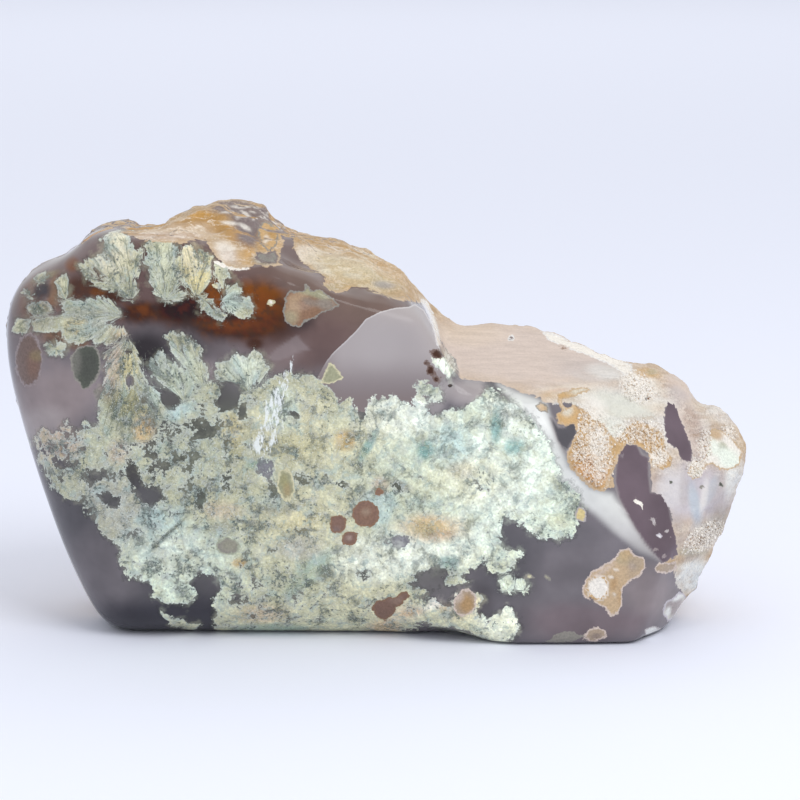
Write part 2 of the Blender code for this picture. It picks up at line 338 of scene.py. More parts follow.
# %% [markdown]
# Rough parts get their relief from moved points, not only from shading, because an edge against the light
# shows it. Rind is pitted and lumpy, the old skin along the top is wavy, the notch is a split face with
# faint level ridges, and the broken slope is knobbly with quartz. Each is noise of its own grain, in
# millimetres.

# %% Relief of the rough parts
def relief(place, skin, split, knobbly):
    """How far a rough point stands out, in mm."""
    here = Vector(place)
    grit = noise.fractal(here / 1.1, 0.7, 2.1, 3)
    waves = noise.fractal(here / 3.6 + Vector((3.0, 8.0, 1.0)), 0.9, 2.0, 3)
    ridges = noise.noise(Vector((here.x / 14.0, here.y / 1.6, here.z / 1.1)))
    pits = noise.cell_vector(here / 2.3)[0]
    out = (0.30 * waves + 0.12 * grit - 0.10 * pits) * (1.0 - max(skin, split, knobbly))
    on_skin = skin * (0.34 * waves + 0.05 * grit)
    on_split = split * (0.05 * waves + 0.06 * ridges + 0.02 * grit)
    on_slope = knobbly * (0.22 * waves + 0.16 * grit)
    return out + on_skin + on_split + on_slope


places, directions, px, py, facing = read_points(stone)
seen = rise(0.0, 0.08, facing)
skin_share = seen * np.maximum(
    rise(0.0, 5.0, inside_outline(px, py, TOP_SKIN)), rise(0.0, 5.0, inside_outline(px, py, LEFT_TOP_SKIN))
)
split_share = seen * rise(0.0, 5.0, inside_outline(px, py, NOTCH_FACE))
slope_share = seen * rise(0.0, 5.0, inside_outline(px, py, RIGHT_SLOPE))
lift = np.array([
    relief(place, *shares) if level > 0.01 else 0.0
    for place, level, *shares in zip(places, rough, skin_share, split_share, slope_share)
]) * rough
places += directions * lift[:, None]
low, high = (np.array(corner) / MM for corner in cad_box)
places = np.clip(places, low, high)
stone.data.vertices.foreach_set("co", (places * MM).astype(np.float32).ravel())
stone.data.update()
print("relief: up to", round(float(np.abs(lift).max()), 2), "mm")

# %% [markdown]
# The back and the base are never seen close in the picture, so they can be coarser. Decimate takes faces
# only where its vertex group says so, and the front keeps its fine skin for the markings.

# %% Fewer faces behind
FACE_LIMIT = 188000

behind_group = stone.vertex_groups.new(name="behind")
behind_group.add([int(i) for i in np.nonzero((facing < -0.05) & (rough > 0.5))[0]], 1.0, "REPLACE")
faces_now = sum(len(face.vertices) - 2 for face in stone.data.polygons)
if faces_now > FACE_LIMIT:
    fewer = stone.modifiers.new("fewer", "DECIMATE")
    fewer.ratio = FACE_LIMIT / faces_now
    fewer.vertex_group = "behind"
    fewer.vertex_group_factor = 1000.0
    bpy.ops.object.modifier_apply(modifier=fewer.name)
stone.vertex_groups.clear()
print("faces:", faces_now, "then", sum(len(face.vertices) - 2 for face in stone.data.polygons))

# %% [markdown]
# Now the markings are laid out. On the left end the ground face turns out of sight, so its places in the
# picture are stretched on round the corner, and the moss carries on over the side as it does in the real
# All the shapes that follow are drawn in picture pixels.

# %% Points to be painted
TURN_STARTS_AT = -14.0
OVAL_EDGE = (-0.35, 0.55)
OVAL_UNEVEN = 0.12

places, directions, px, py, facing = read_points(stone)
round_the_end = rise(0.35, 0.0, facing) * np.maximum(0.0, places[:, 1] - TURN_STARTS_AT) / MM_PER_PX
px = np.where(places[:, 0] < 0.0, px - round_the_end, px)
wander = blotches(9.0)
mottle = blotches(4.0, (5.0, 2.0, 9.0))
print(len(places), "points to paint")


def wash(paint, colour, amount):
    """Lays a colour over a paint layer, by an amount from 0 to 1 at each point."""
    return paint + (np.array(colour) - paint) * np.asarray(amount)[:, None]


def in_oval(x, y, radius_x, radius_y, turn=0.0):
    """How deep in an oval each point is: 1 at its middle, 0 on its edge and negative outside it."""
    return inside_oval(px, py, x, y, radius_x, radius_y, turn) / min(radius_x, radius_y)


def wash_ovals(paint, ovals):
    """Soft ovals of colour: name, middle, radii, turn and strength."""
    for name, *oval, strength in ovals:
        depth = in_oval(*oval) + OVAL_UNEVEN * mottle
        paint = wash(paint, COLOUR[name], strength * rise(*OVAL_EDGE, depth))
    return paint


# %% [markdown]
# First the ground: the smoky chalcedony itself. It is plum and brown in the upper left, rust where iron
# soaked in, slate below, and mauve on the right. Soft ovals of colour are laid over each other, each named
# from the palette, in the way a watercolour is built up. Under the thick moss the gaps look greenish grey.
# A milky band runs down the right side, and the split face under the notch is a matt grey-lilac shell. Each
# oval says its colour, middle, radii, turn and strength.

# %% Ground colours
GROUND = [
    ("plum", 190, 275, 230, 80, 0, 1.0), ("plum_pale", 100, 235, 70, 22, -25, 0.6),
    ("plum_pale", 30, 300, 34, 70, 0, 0.5), ("umber", 340, 300, 85, 55, 20, 1.0),
    ("plum", 305, 345, 60, 34, 0, 0.9), ("rock", 290, 240, 16, 26, 0, 0.8),
    ("rock", 312, 268, 20, 8, 40, 0.6), ("plum_pale", 283, 356, 26, 14, -35, 0.45),
    ("slate", 110, 555, 110, 95, 50, 1.0), ("slate_pale", 98, 580, 44, 60, 20, 0.8),
    # The deep slate band along the bottom edge is partly the stone's colour and partly painted shade where
    # the face rolls under.
    ("slate_deep", 190, 622, 150, 24, 0, 0.9), ("slate_deep", 205, 600, 20, 30, 0, 0.6),
    ("slate", 165, 340, 60, 24, 0, 0.7), ("night", 146, 350, 22, 20, 0, 1.0),
    ("night", 205, 410, 60, 36, 10, 0.7), ("smoke", 50, 400, 60, 36, -20, 0.9),
    ("fog", 40, 425, 30, 18, -20, 0.4), ("smoke", 208, 372, 18, 12, 0, 0.7),
    ("gap", 300, 490, 190, 100, 10, 1.0), ("night", 140, 470, 16, 24, 20, 0.6),
    ("grey_lilac", 266, 468, 16, 16, 0, 0.9), ("slate", 150, 500, 30, 24, 0, 0.7),
    ("rust_deep", 240, 314, 66, 28, 5, 1.0), ("rust_deep", 190, 308, 38, 18, -8, 1.0),
    ("night", 300, 318, 18, 14, 0, 0.6), ("rust", 258, 302, 28, 22, 0, 0.8),
    ("rust", 216, 292, 9, 17, 0, 0.9), ("rust_deep", 236, 326, 44, 11, 0, 0.6),
    ("rust", 225, 325, 24, 5, 0, 0.4), ("rust_deep", 140, 312, 20, 12, 0, 0.9),
    ("rust", 143, 310, 8, 5, 30, 0.5), ("rust_deep", 82, 288, 22, 12, 0, 0.7),
    ("rust_deep", 112, 294, 16, 9, 20, 0.8), ("rust", 72, 264, 7, 8, 0, 0.6), ("rust", 98, 292, 8, 5, 0, 0.5),
    ("rust", 205, 322, 14, 6, 0, 0.35), ("rust_deep", 255, 344, 9, 6, 0, 0.8),
    ("char", 184, 309, 28, 11, 0, 0.75), ("rust", 215, 300, 8, 16, 0, 0.6), ("rust", 266, 292, 18, 9, 0, 0.6),
    ("rust", 250, 326, 34, 8, 0, 0.35), ("bark", 60, 335, 20, 9, 0, 0.8), ("bark", 78, 343, 12, 8, 0, 0.7),
    ("brick", 30, 300, 12, 24, 10, 0.7), ("bark", 54, 292, 7, 20, 8, 0.8),
    ("slate_deep", 42, 291, 11, 8, -35, 0.9), ("brick", 28, 372, 12, 14, 0, 0.4),
    # The slate_pale, smoke and mauve ovals on the lower right, from here on, are partly the stone's colour
    # and partly painted light from the key light on that side.
    ("olive", 45, 276, 16, 4, -20, 0.35), ("slate_pale", 590, 570, 110, 60, 0, 1.0),
    ("slate", 505, 560, 40, 50, 0, 0.8), ("smoke", 648, 592, 30, 30, 0, 0.6),
    ("mauve", 585, 622, 70, 20, 0, 0.9), ("slate", 500, 625, 36, 20, 0, 0.7),
    ("slate", 560, 535, 40, 16, 0, 0.4), ("slate", 432, 612, 26, 12, 0, 0.8),
    ("grey_lilac", 400, 542, 20, 14, 0, 0.9), ("night", 480, 600, 14, 18, 0, 0.4),
    ("lavender", 475, 392, 34, 14, 0, 0.8), ("slate", 495, 388, 14, 9, 30, 0.9),
    ("fog", 435, 400, 12, 26, 25, 0.7),
]
MILK_BAND = [
    (498, 384), (516, 392), (535, 398), (546, 404), (552, 425), (560, 445), (568, 466), (590, 488),
    (612, 494), (626, 514), (642, 538), (662, 560), (640, 551), (614, 531), (596, 514), (578, 501),
    (559, 483), (545, 457), (536, 430), (514, 404),
]
LILAC_LEAF = [
    (268, 358), (278, 348), (290, 340), (297, 335), (303, 343), (310, 349), (298, 352), (288, 357),
    (276, 361),
]
SHELL_FACE = [
    (409, 307), (395, 308), (380, 312), (366, 319), (357, 330), (345, 342), (334, 352), (326, 362),
    (317, 378), (316, 392), (330, 404), (362, 412), (404, 410), (420, 402), (436, 388), (446, 376),
    (440, 350), (434, 328), (424, 310), (415, 304),
]
LOWER_WINDOW = [
    (620, 448), (626, 444), (636, 445), (641, 455), (648, 458), (648, 476), (650, 493), (661, 494),
    (668, 504), (670, 518), (675, 534), (678, 554), (671, 559), (663, 563), (655, 554), (645, 542),
    (636, 528), (627, 512), (620, 498), (616, 482), (617, 464),
]

ground = np.tile(COLOUR["slate_pale"], (len(px), 1))
ground = wash_ovals(ground, GROUND)
speckle = blotches(1.5, (1.0, 7.0, 4.0), 0.7)
rusty = rise(-0.2, 0.5, in_oval(228, 308, 74, 36))
rusty = np.maximum(rusty, rise(-0.2, 0.5, in_oval(138, 312, 26, 16)))
rusty = np.maximum(rusty, 0.7 * rise(-0.2, 0.5, in_oval(62, 318, 42, 40)))
ground = wash(ground, COLOUR["night"], 0.5 * rusty * rise(0.08, 0.4, speckle))
ground = wash(ground, COLOUR["rust"], 0.25 * rusty * rise(0.1, 0.45, -speckle))
ground = wash(ground, COLOUR["smoke"], 0.5 * rise(-1.5, 1.0, inside_outline(px, py, LILAC_LEAF)))
band_px = inside_outline(px, py, MILK_BAND)
ground = wash(ground, COLOUR["milk"], 0.97 * rise(-5.0, 5.0, band_px) * rise(600.0, 500.0, py))
ground = wash(ground, COLOUR["fog"], 0.5 * rise(-3.0, 3.0, band_px) * rise(480.0, 560.0, py))
shell_px = inside_outline(px, py, SHELL_FACE)
matt_shell = 0.4 * rise(-1.0, 1.0, shell_px)
shell_paint = wash(np.tile(COLOUR["lavender"], (len(px), 1)), COLOUR["lavender_deep"], rise(350.0, 392.0, py))
shell_paint = wash(shell_paint, COLOUR["rock"], 0.7 * rise(385.0, 402.0, py))
shell_paint = wash(shell_paint, COLOUR["rock"], 0.6 * rise(345.0, 318.0, px))
shell_paint = wash(shell_paint, COLOUR["fog"], 0.3 * rise(-0.4, 0.6, in_oval(378, 345, 24, 24)))
for outline, name in zip([*SLOPE_WINDOWS, LOWER_WINDOW], ("slate", "window", "window")):
    window_px = inside_outline(px, py, outline)
    ground = wash(ground, COLOUR["lavender"], 0.6 * rise(-4.0, 0.0, window_px))
    ground = wash(ground, COLOUR[name], rise(-1.6, 1.0, window_px))
print("ground:", len(GROUND), "washes")

# %% [markdown]
# Then the moss. Every clump is an outline drawn a little larger than its fronds, with the point that it grew
# from. The outline gives each point its distance from the clump's edge, and the shader tears that edge into
# fronds. Far inside, the distance is held down, so that small holes still open in the mass, more of them on
# the left, where the moss is thin. The clumps are fans, so their noise is stretched along the fronds, in a
# place of its own that is measured round the root and away from it, and dark veins are drawn only on them.

# %% Moss clumps
MAIN_MASS = [
    (100, 408), (118, 402), (160, 405), (185, 402), (198, 384), (212, 382), (226, 386), (222, 396),
    (212, 402), (222, 412), (236, 404), (238, 396), (250, 392), (262, 386), (272, 378), (288, 374),
    (310, 374), (326, 384), (334, 394), (348, 400), (362, 408), (372, 399), (392, 395), (404, 398),
    (412, 404), (416, 384), (430, 379), (440, 386), (440, 400), (430, 412), (448, 412), (462, 408),
    (478, 396), (490, 388), (500, 392), (520, 404), (534, 420), (546, 440), (556, 462), (566, 482),
    (578, 496), (584, 508), (578, 518), (572, 534), (560, 540), (545, 538), (532, 534), (520, 524),
    (506, 516), (499, 530), (504, 546), (522, 551), (520, 558), (510, 570), (500, 577), (490, 572),
    (484, 562), (470, 572), (462, 576), (474, 586), (484, 598), (478, 612), (488, 622), (500, 612),
    (506, 607), (514, 611), (520, 626), (514, 640), (498, 643), (478, 636), (455, 630), (440, 627),
    (424, 624), (400, 632), (340, 636), (260, 640), (216, 636), (213, 622), (216, 600), (222, 588),
    (214, 576), (200, 572), (190, 584), (196, 596), (188, 606), (172, 602), (160, 606), (162, 614),
    (180, 620), (200, 624), (190, 630), (172, 626), (164, 616), (160, 600), (150, 597), (154, 588),
    (142, 579), (128, 576), (120, 562), (119, 548), (112, 541), (102, 532), (92, 518), (80, 502), (66, 500),
    (52, 484), (42, 466), (34, 448), (0, 452), (-60, 468), (-60, 446), (-10, 442), (14, 434), (28, 441),
    (42, 430), (54, 435), (64, 423), (74, 432), (86, 423), (98, 428),
]
CLUMPS = [
    # the point it grew from, fronds' length in px, outline
    ((131, 300), 50, [
        (102, 241), (108, 235), (115, 233), (121, 236), (126, 238), (128, 248), (132, 246), (131, 255),
        (140, 251), (139, 264), (136, 273), (132, 282), (139, 288), (134, 297), (124, 298), (116, 287),
        (104, 277), (92, 269), (88, 262), (92, 255), (100, 250)]),
    ((166, 300), 54, [
        (145, 244), (151, 241), (158, 244), (164, 241), (172, 244), (180, 245), (182, 258), (182, 272),
        (178, 282), (182, 291), (186, 296), (178, 299), (166, 300), (157, 294), (151, 281), (149, 271),
        (144, 262), (148, 254)]),
    ((196, 298), 50, [
        (183, 250), (190, 246), (198, 246), (206, 252), (212, 257), (209, 266), (207, 272), (211, 277),
        (205, 284), (202, 294), (193, 295), (186, 284), (180, 277), (182, 262)]),
    ((222, 300), 30, [
        (214, 262), (221, 263), (229, 270), (230, 278), (222, 281), (228, 287), (236, 283), (240, 290),
        (242, 298), (250, 298), (253, 306), (250, 316), (242, 314), (236, 310), (226, 309), (224, 300),
        (230, 296), (222, 288), (216, 276)]),
    ((205, 300), 20, [
        (198, 294), (206, 298), (212, 304), (206, 307), (216, 310), (224, 315), (221, 320), (212, 314),
        (200, 310)]),
    ((122, 316), 60, [
        (58, 304), (66, 300), (78, 303), (90, 298), (104, 299), (112, 306), (121, 314), (112, 320),
        (100, 319), (92, 322), (104, 322), (118, 328), (126, 334), (120, 340), (106, 343), (96, 342),
        (94, 336), (84, 340), (70, 340), (62, 334), (52, 328), (36, 330), (30, 322), (44, 318), (58, 318),
        (64, 312)]),
    ((118, 286), 40, [
        (78, 266), (88, 262), (92, 270), (97, 280), (106, 281), (118, 286), (122, 292), (112, 291), (98, 286),
        (86, 279)]),
    ((58, 312), 24, [
        (28, 308), (36, 302), (46, 304), (50, 310), (42, 316), (34, 316)]),
    ((40, 314), 24, [
        (18, 322), (26, 318), (34, 322), (30, 330), (22, 334), (14, 330)]),
    ((66, 300), 26, [
        (58, 284), (64, 276), (70, 284), (70, 296), (64, 300), (56, 296)]),
    ((46, 326), 12, [
        (40, 320), (50, 318), (54, 324), (46, 328)]),
    ((30, 296), 12, [
        (24, 292), (30, 288), (34, 294), (28, 300)]),
    ((56, 350), 14, [
        (46, 346), (56, 342), (66, 346), (62, 354), (50, 356)]),
    ((40, 282), 16, [
        (34, 276), (42, 272), (50, 276), (46, 282), (38, 284)]),
    ((128, 338), 90, [
        (118, 344), (127, 340), (134, 346), (138, 358), (140, 370), (146, 384), (156, 392), (164, 404),
        (172, 416), (160, 420), (150, 440), (120, 444), (104, 438), (99, 420), (102, 408), (98, 396),
        (104, 380), (106, 366), (102, 356), (110, 350)]),
    ((186, 404), 52, [
        (146, 366), (151, 357), (158, 352), (166, 357), (174, 360), (182, 370), (190, 378), (196, 388),
        (192, 398), (182, 402), (174, 394), (164, 386), (155, 377)]),
    ((206, 392), 54, [
        (167, 337), (174, 334), (184, 337), (194, 342), (202, 350), (198, 358), (204, 364), (206, 374),
        (204, 384), (196, 384), (188, 372), (181, 360), (173, 350)]),
    ((250, 396), 44, [
        (215, 373), (221, 364), (228, 360), (234, 354), (240, 358), (246, 359), (252, 354), (258, 351),
        (263, 357), (266, 364), (269, 368), (264, 376), (256, 382), (250, 392), (243, 391), (240, 384),
        (230, 383), (221, 381)]),
    ((448, 392), 24, [
        (438, 356), (446, 350), (454, 356), (457, 368), (450, 380), (444, 374), (436, 366)]),
    ((508, 590), 12, [
        (502, 580), (510, 577), (514, 584), (510, 592), (503, 590)]),
    ((524, 590), 12, [
        (518, 580), (526, 579), (529, 586), (524, 592), (519, 588)]),
]
HOLES = [
    # middle, radii, turn and depth in px
    (135, 476, 6, 15, -20, 3.2), (150, 495, 12, 8, 20, 4.0), (266, 470, 8, 11, 0, 3.6),
    (401, 542, 13, 9, 0, 3.6), (364, 576, 7, 6, 30, 3.6), (228, 395, 9, 11, 20, 3.4),
    (170, 401, 9, 7, 0, 3.4), (242, 412, 4, 9, 10, 4.0), (205, 430, 10, 9, 0, 3.0), (110, 500, 9, 6, 30, 4.0),
    (200, 500, 5, 8, 0, 4.0), (273, 492, 5, 10, 0, 4.0), (300, 480, 12, 7, 0, 2.0), (340, 484, 7, 4, 25, 3.0),
    (362, 412, 4, 9, 0, 4.0), (430, 578, 20, 8, -15, 4.0), (484, 482, 12, 12, 0, 2.0),
    (398, 488, 9, 6, 20, 3.0), (440, 592, 20, 10, 20, 4.0), (296, 415, 7, 4, 30, 3.0),
    (462, 398, 10, 6, 0, 4.0), (250, 586, 10, 6, 0, 2.0), (240, 600, 8, 6, 0, 2.0), (160, 470, 10, 8, 0, 2.0),
    (130, 380, 4, 7, 0, 4.0), (128, 352, 4, 3, 0, 4.0), (430, 405, 8, 10, 0, 3.0), (226, 480, 6, 10, 0, 3.0),
    (96, 478, 6, 10, 30, 2.0), (468, 588, 14, 5, 0, 3.0), (26, 446, 26, 9, 0, 2.0), (60, 462, 12, 6, 30, 2.0),
]
THIN_MOSS = [
    (110, 450, 120, 90, 0, 1.5), (180, 430, 70, 50, 0, 1.4), (250, 600, 60, 40, 0, 0.8),
    (440, 590, 60, 30, 0, 1.2), (480, 460, 130, 96, 0, -1.9), (400, 430, 90, 40, 0, -0.5),
    (390, 560, 100, 40, 0, -1.6), (300, 470, 70, 60, 0, -0.7),
]
MASS_HELD_AT = 4.4
CLUMP_HELD_AT = 4.6
CLUMP_MARGIN = 1.6
FROND_ACROSS = 0.66
FROND_ALONG = 0.42
CLUMPS_APART = 40.0

held = np.full(len(px), MASS_HELD_AT)
for *oval, less in THIN_MOSS:
    held -= less * rise(-0.2, 0.5, in_oval(*oval))
moss_px = np.minimum(inside_outline(px, py, MAIN_MASS), held)
grow = np.stack([px * MM_PER_PX, -py * MM_PER_PX, places[:, 1]], axis=1)
fan_share = np.zeros(len(px))
for number, ((root_x, root_y), length, outline) in enumerate(CLUMPS, 1):
    inside = np.minimum(inside_outline(px, py, outline) + CLUMP_MARGIN, CLUMP_HELD_AT)
    reach = np.hypot(px - root_x, py - root_y)
    turn = np.arctan2(py - root_y, px - root_x)
    apart = np.full(len(px), CLUMPS_APART * number)
    frond = np.stack([turn * length * FROND_ACROSS, reach * FROND_ALONG, apart], axis=1) * MM_PER_PX
    wins = inside > moss_px
    grow = np.where((wins & (inside > -6.0))[:, None], frond, grow)
    fan_share = np.where(wins, rise(0.0, 3.0, inside), fan_share)
    moss_px = np.maximum(moss_px, inside)
for *oval, depth in HOLES:
    moss_px -= depth * 2.0 * np.clip(in_oval(*oval) + 0.5, 0.0, 1.0) * (moss_px > -8.0)
print("moss clumps:", len(CLUMPS) + 1, "holes:", len(HOLES))

# %% [markdown]
# The moss has its own colours. Sage and cream rule on the left, mint and near white on the right, with teal
# and aqua where copper or chlorite stained it, yellow at the roots and pink near the old rind. The key light
# stands on the right of the picture and the moss is brightest there, so painted light lifts its colours from
# left to right, and a further lift is added towards the bottom.

# %% Moss colours
MOSS_TINTS = [
    ("mint", 500, 470, 130, 110, 0, 0.75), ("sage", 150, 450, 120, 110, 0, 0.5),
    ("grey_lilac", 130, 520, 70, 34, 45, 0.45), ("mint", 180, 565, 64, 50, 0, 0.75),
    ("snow", 180, 556, 40, 26, 0, 0.35), ("snow", 400, 414, 52, 24, 0, 0.8),
    ("snow", 385, 560, 60, 24, 0, 0.6), ("snow", 500, 470, 60, 60, 0, 0.5),
    ("snow", 516, 414, 36, 24, 30, 0.9), ("mint", 522, 440, 28, 24, 0, 0.4),
    ("snow", 440, 545, 60, 26, 0, 0.5), ("cream", 310, 430, 80, 34, 0, 0.55),
    ("cream", 300, 520, 50, 34, 0, 0.45), ("cream", 460, 480, 50, 26, 0, 0.4),
    ("cream", 380, 600, 60, 18, 0, 0.35), ("cream", 115, 258, 30, 36, 0, 0.8),
    ("bone", 112, 254, 22, 24, 0, 0.3), ("sage", 122, 285, 14, 14, 0, 0.5),
    ("mint", 164, 266, 22, 36, 0, 0.5), ("cream", 164, 262, 20, 30, 0, 0.3),
    ("cream", 196, 264, 18, 24, 0, 1.0), ("shell", 196, 258, 14, 14, 0, 0.5),
    ("straw", 196, 268, 17, 28, 0, 0.9), ("bone", 192, 258, 10, 14, 0, 0.3),
    ("leaf", 172, 286, 12, 8, 0, 0.6), ("snow", 242, 368, 30, 20, 0, 0.3), ("mint", 245, 372, 24, 16, 0, 0.5),
    ("mint", 172, 376, 32, 26, 0, 0.5), ("sage", 92, 310, 44, 26, 0, 0.95),
    ("grey_lilac", 92, 320, 30, 16, 0, 0.3), ("butter", 75, 326, 12, 9, 0, 0.6),
    ("tan", 130, 332, 20, 9, 0, 0.6), ("orange", 126, 336, 12, 4, 0, 0.4), ("amber", 142, 334, 8, 5, 0, 0.5),
    ("sage", 124, 385, 26, 50, 0, 0.6), ("leaf", 124, 380, 20, 44, 0, 0.5),
    ("blush", 112, 368, 12, 30, 8, 0.9), ("shell", 114, 362, 8, 24, 8, 0.4),
    ("straw", 129, 368, 10, 22, 5, 0.8), ("olive", 130, 402, 22, 14, 0, 0.6),
    ("gap", 112, 392, 8, 14, 0, 0.3), ("honey", 144, 430, 12, 16, 10, 0.75),
    ("ochre", 150, 428, 6, 8, 0, 0.7), ("blush", 118, 452, 12, 14, 0, 0.6),
    ("blush", 58, 440, 26, 26, 0, 0.8), ("brick", 62, 452, 8, 6, 0, 0.7), ("aqua", 178, 412, 16, 8, -20, 0.8),
    ("aqua", 155, 398, 8, 12, 0, 0.4), ("butter", 232, 430, 12, 16, 0, 0.65),
    ("olive", 236, 450, 8, 10, 0, 0.45), ("sage", 190, 445, 34, 24, 0, 0.6),
    ("olive", 296, 446, 34, 14, 0, 0.3), ("ochre", 345, 440, 11, 11, 0, 0.7),
    ("olive", 342, 444, 8, 7, 0, 0.3), ("butter", 300, 524, 20, 12, 0, 0.3),
    ("mint", 282, 410, 18, 22, 0, 0.7), ("teal", 368, 446, 5, 18, 30, 0.7), ("teal", 426, 450, 9, 10, 0, 0.8),
    ("aqua", 452, 446, 22, 20, 0, 0.7), ("teal", 496, 426, 7, 20, 0, 0.75), ("teal", 514, 447, 12, 9, 0, 0.7),
    ("slate", 400, 486, 14, 6, 20, 0.7), ("aqua", 380, 505, 16, 22, 0, 0.6),
    ("teal", 258, 464, 14, 5, -10, 0.6), ("slate", 276, 506, 18, 10, 0, 0.45),
    ("aqua", 272, 500, 18, 10, 0, 0.35), ("teal", 310, 572, 34, 12, -42, 0.45),
    ("moss_dark", 324, 572, 10, 7, 0, 0.5), ("grey_lilac", 300, 548, 26, 13, 0, 0.5),
    ("moss_dark", 432, 578, 28, 12, -12, 0.8), ("teal", 448, 562, 12, 7, 0, 0.6),
    ("slate", 446, 598, 20, 12, 0, 0.6), ("cream", 215, 510, 26, 14, 0, 0.4),
    ("blush", 222, 510, 20, 10, 0, 0.5), ("teal", 200, 498, 5, 9, 0, 0.7), ("aqua", 160, 520, 24, 16, 0, 0.6),
    ("slate", 222, 528, 14, 8, 0, 0.4), ("moss_dark", 166, 536, 28, 2.4, -43, 0.95),
    ("moss_dark", 206, 489, 26, 2.2, -45, 0.7), ("leaf", 180, 562, 24, 10, 0, 0.3),
    ("shell", 262, 614, 16, 8, 0, 0.5), ("tan", 262, 614, 28, 13, 0, 0.45), ("ochre", 240, 563, 9, 5, 0, 0.7),
    ("tan", 432, 528, 36, 16, 0, 0.7), ("ochre", 430, 526, 24, 9, 10, 0.4),
    ("olive", 428, 529, 20, 8, 0, 0.35), ("sage", 340, 418, 20, 14, 0, 0.5),
    ("bark", 440, 536, 18, 7, 0, 0.4), ("blush", 380, 486, 9, 10, 0, 0.7),
    ("blush", 462, 470, 14, 10, 0, 0.3), ("teal", 270, 628, 40, 5, 0, 0.5),
    ("snow", 505, 620, 30, 24, 0, 0.4), ("mint", 514, 584, 22, 14, 0, 0.6), ("leaf", 508, 630, 6, 6, 0, 0.4),
    ("tan", 460, 604, 24, 16, 0, 0.5), ("teal", 150, 310, 14, 14, 30, 0.4),
    ("aqua", 232, 302, 14, 12, 0, 0.6), ("slate", 44, 293, 7, 10, 20, 0.6), ("ash", 38, 304, 24, 28, 0, 0.9),
    ("leaf", 40, 314, 16, 12, 0, 0.5), ("bark", 52, 296, 12, 20, 0, 0.4), ("tan", 385, 628, 18, 9, 0, 0.8),
    ("olive", 560, 520, 12, 8, 0, 0.3), ("ochre", 581, 514, 5, 6, 0, 0.8),
    ("ochre", 412, 612, 14, 4, -10, 0.6), ("blush", 398, 612, 24, 12, 0, 0.4),
    ("snow", 448, 366, 14, 16, 0, 0.8), ("bone", 440, 600, 24, 6, -30, 0.6),
    ("sage", 280, 585, 50, 20, 0, 0.3), ("moss_dark", 120, 340, 14, 5, 0, 0.5),
]
moss_tint = np.tile(COLOUR["sage"] * 0.55 + COLOUR["cream"] * 0.45, (len(px), 1))
moss_tint = wash_ovals(moss_tint, MOSS_TINTS)
PAINTED_LIGHT_AT = (0, 250, 330, 420, 510)
PAINTED_LIGHT_BY = (0.97, 0.97, 1.08, 1.12, 1.26)

# Painted light: across makes the moss colours brighter towards the right, where the key light falls, and
# brighter again towards the bottom.
across = np.interp(px, PAINTED_LIGHT_AT, PAINTED_LIGHT_BY)
moss_tint *= (across + 0.2 * rise(510.0, 600.0, py))[:, None]
print("moss tints:", len(MOSS_TINTS))

# %% [markdown]
# The rough skin is coloured in the same way. Ochre and cream iron-stained skin lies along the top, the split
# face is a matt pinkish clay, and the slope carries sparkling quartz between ochre crust and milky stone.
# Behind, where nothing is known from the picture, the rind follows noise in the same colours.

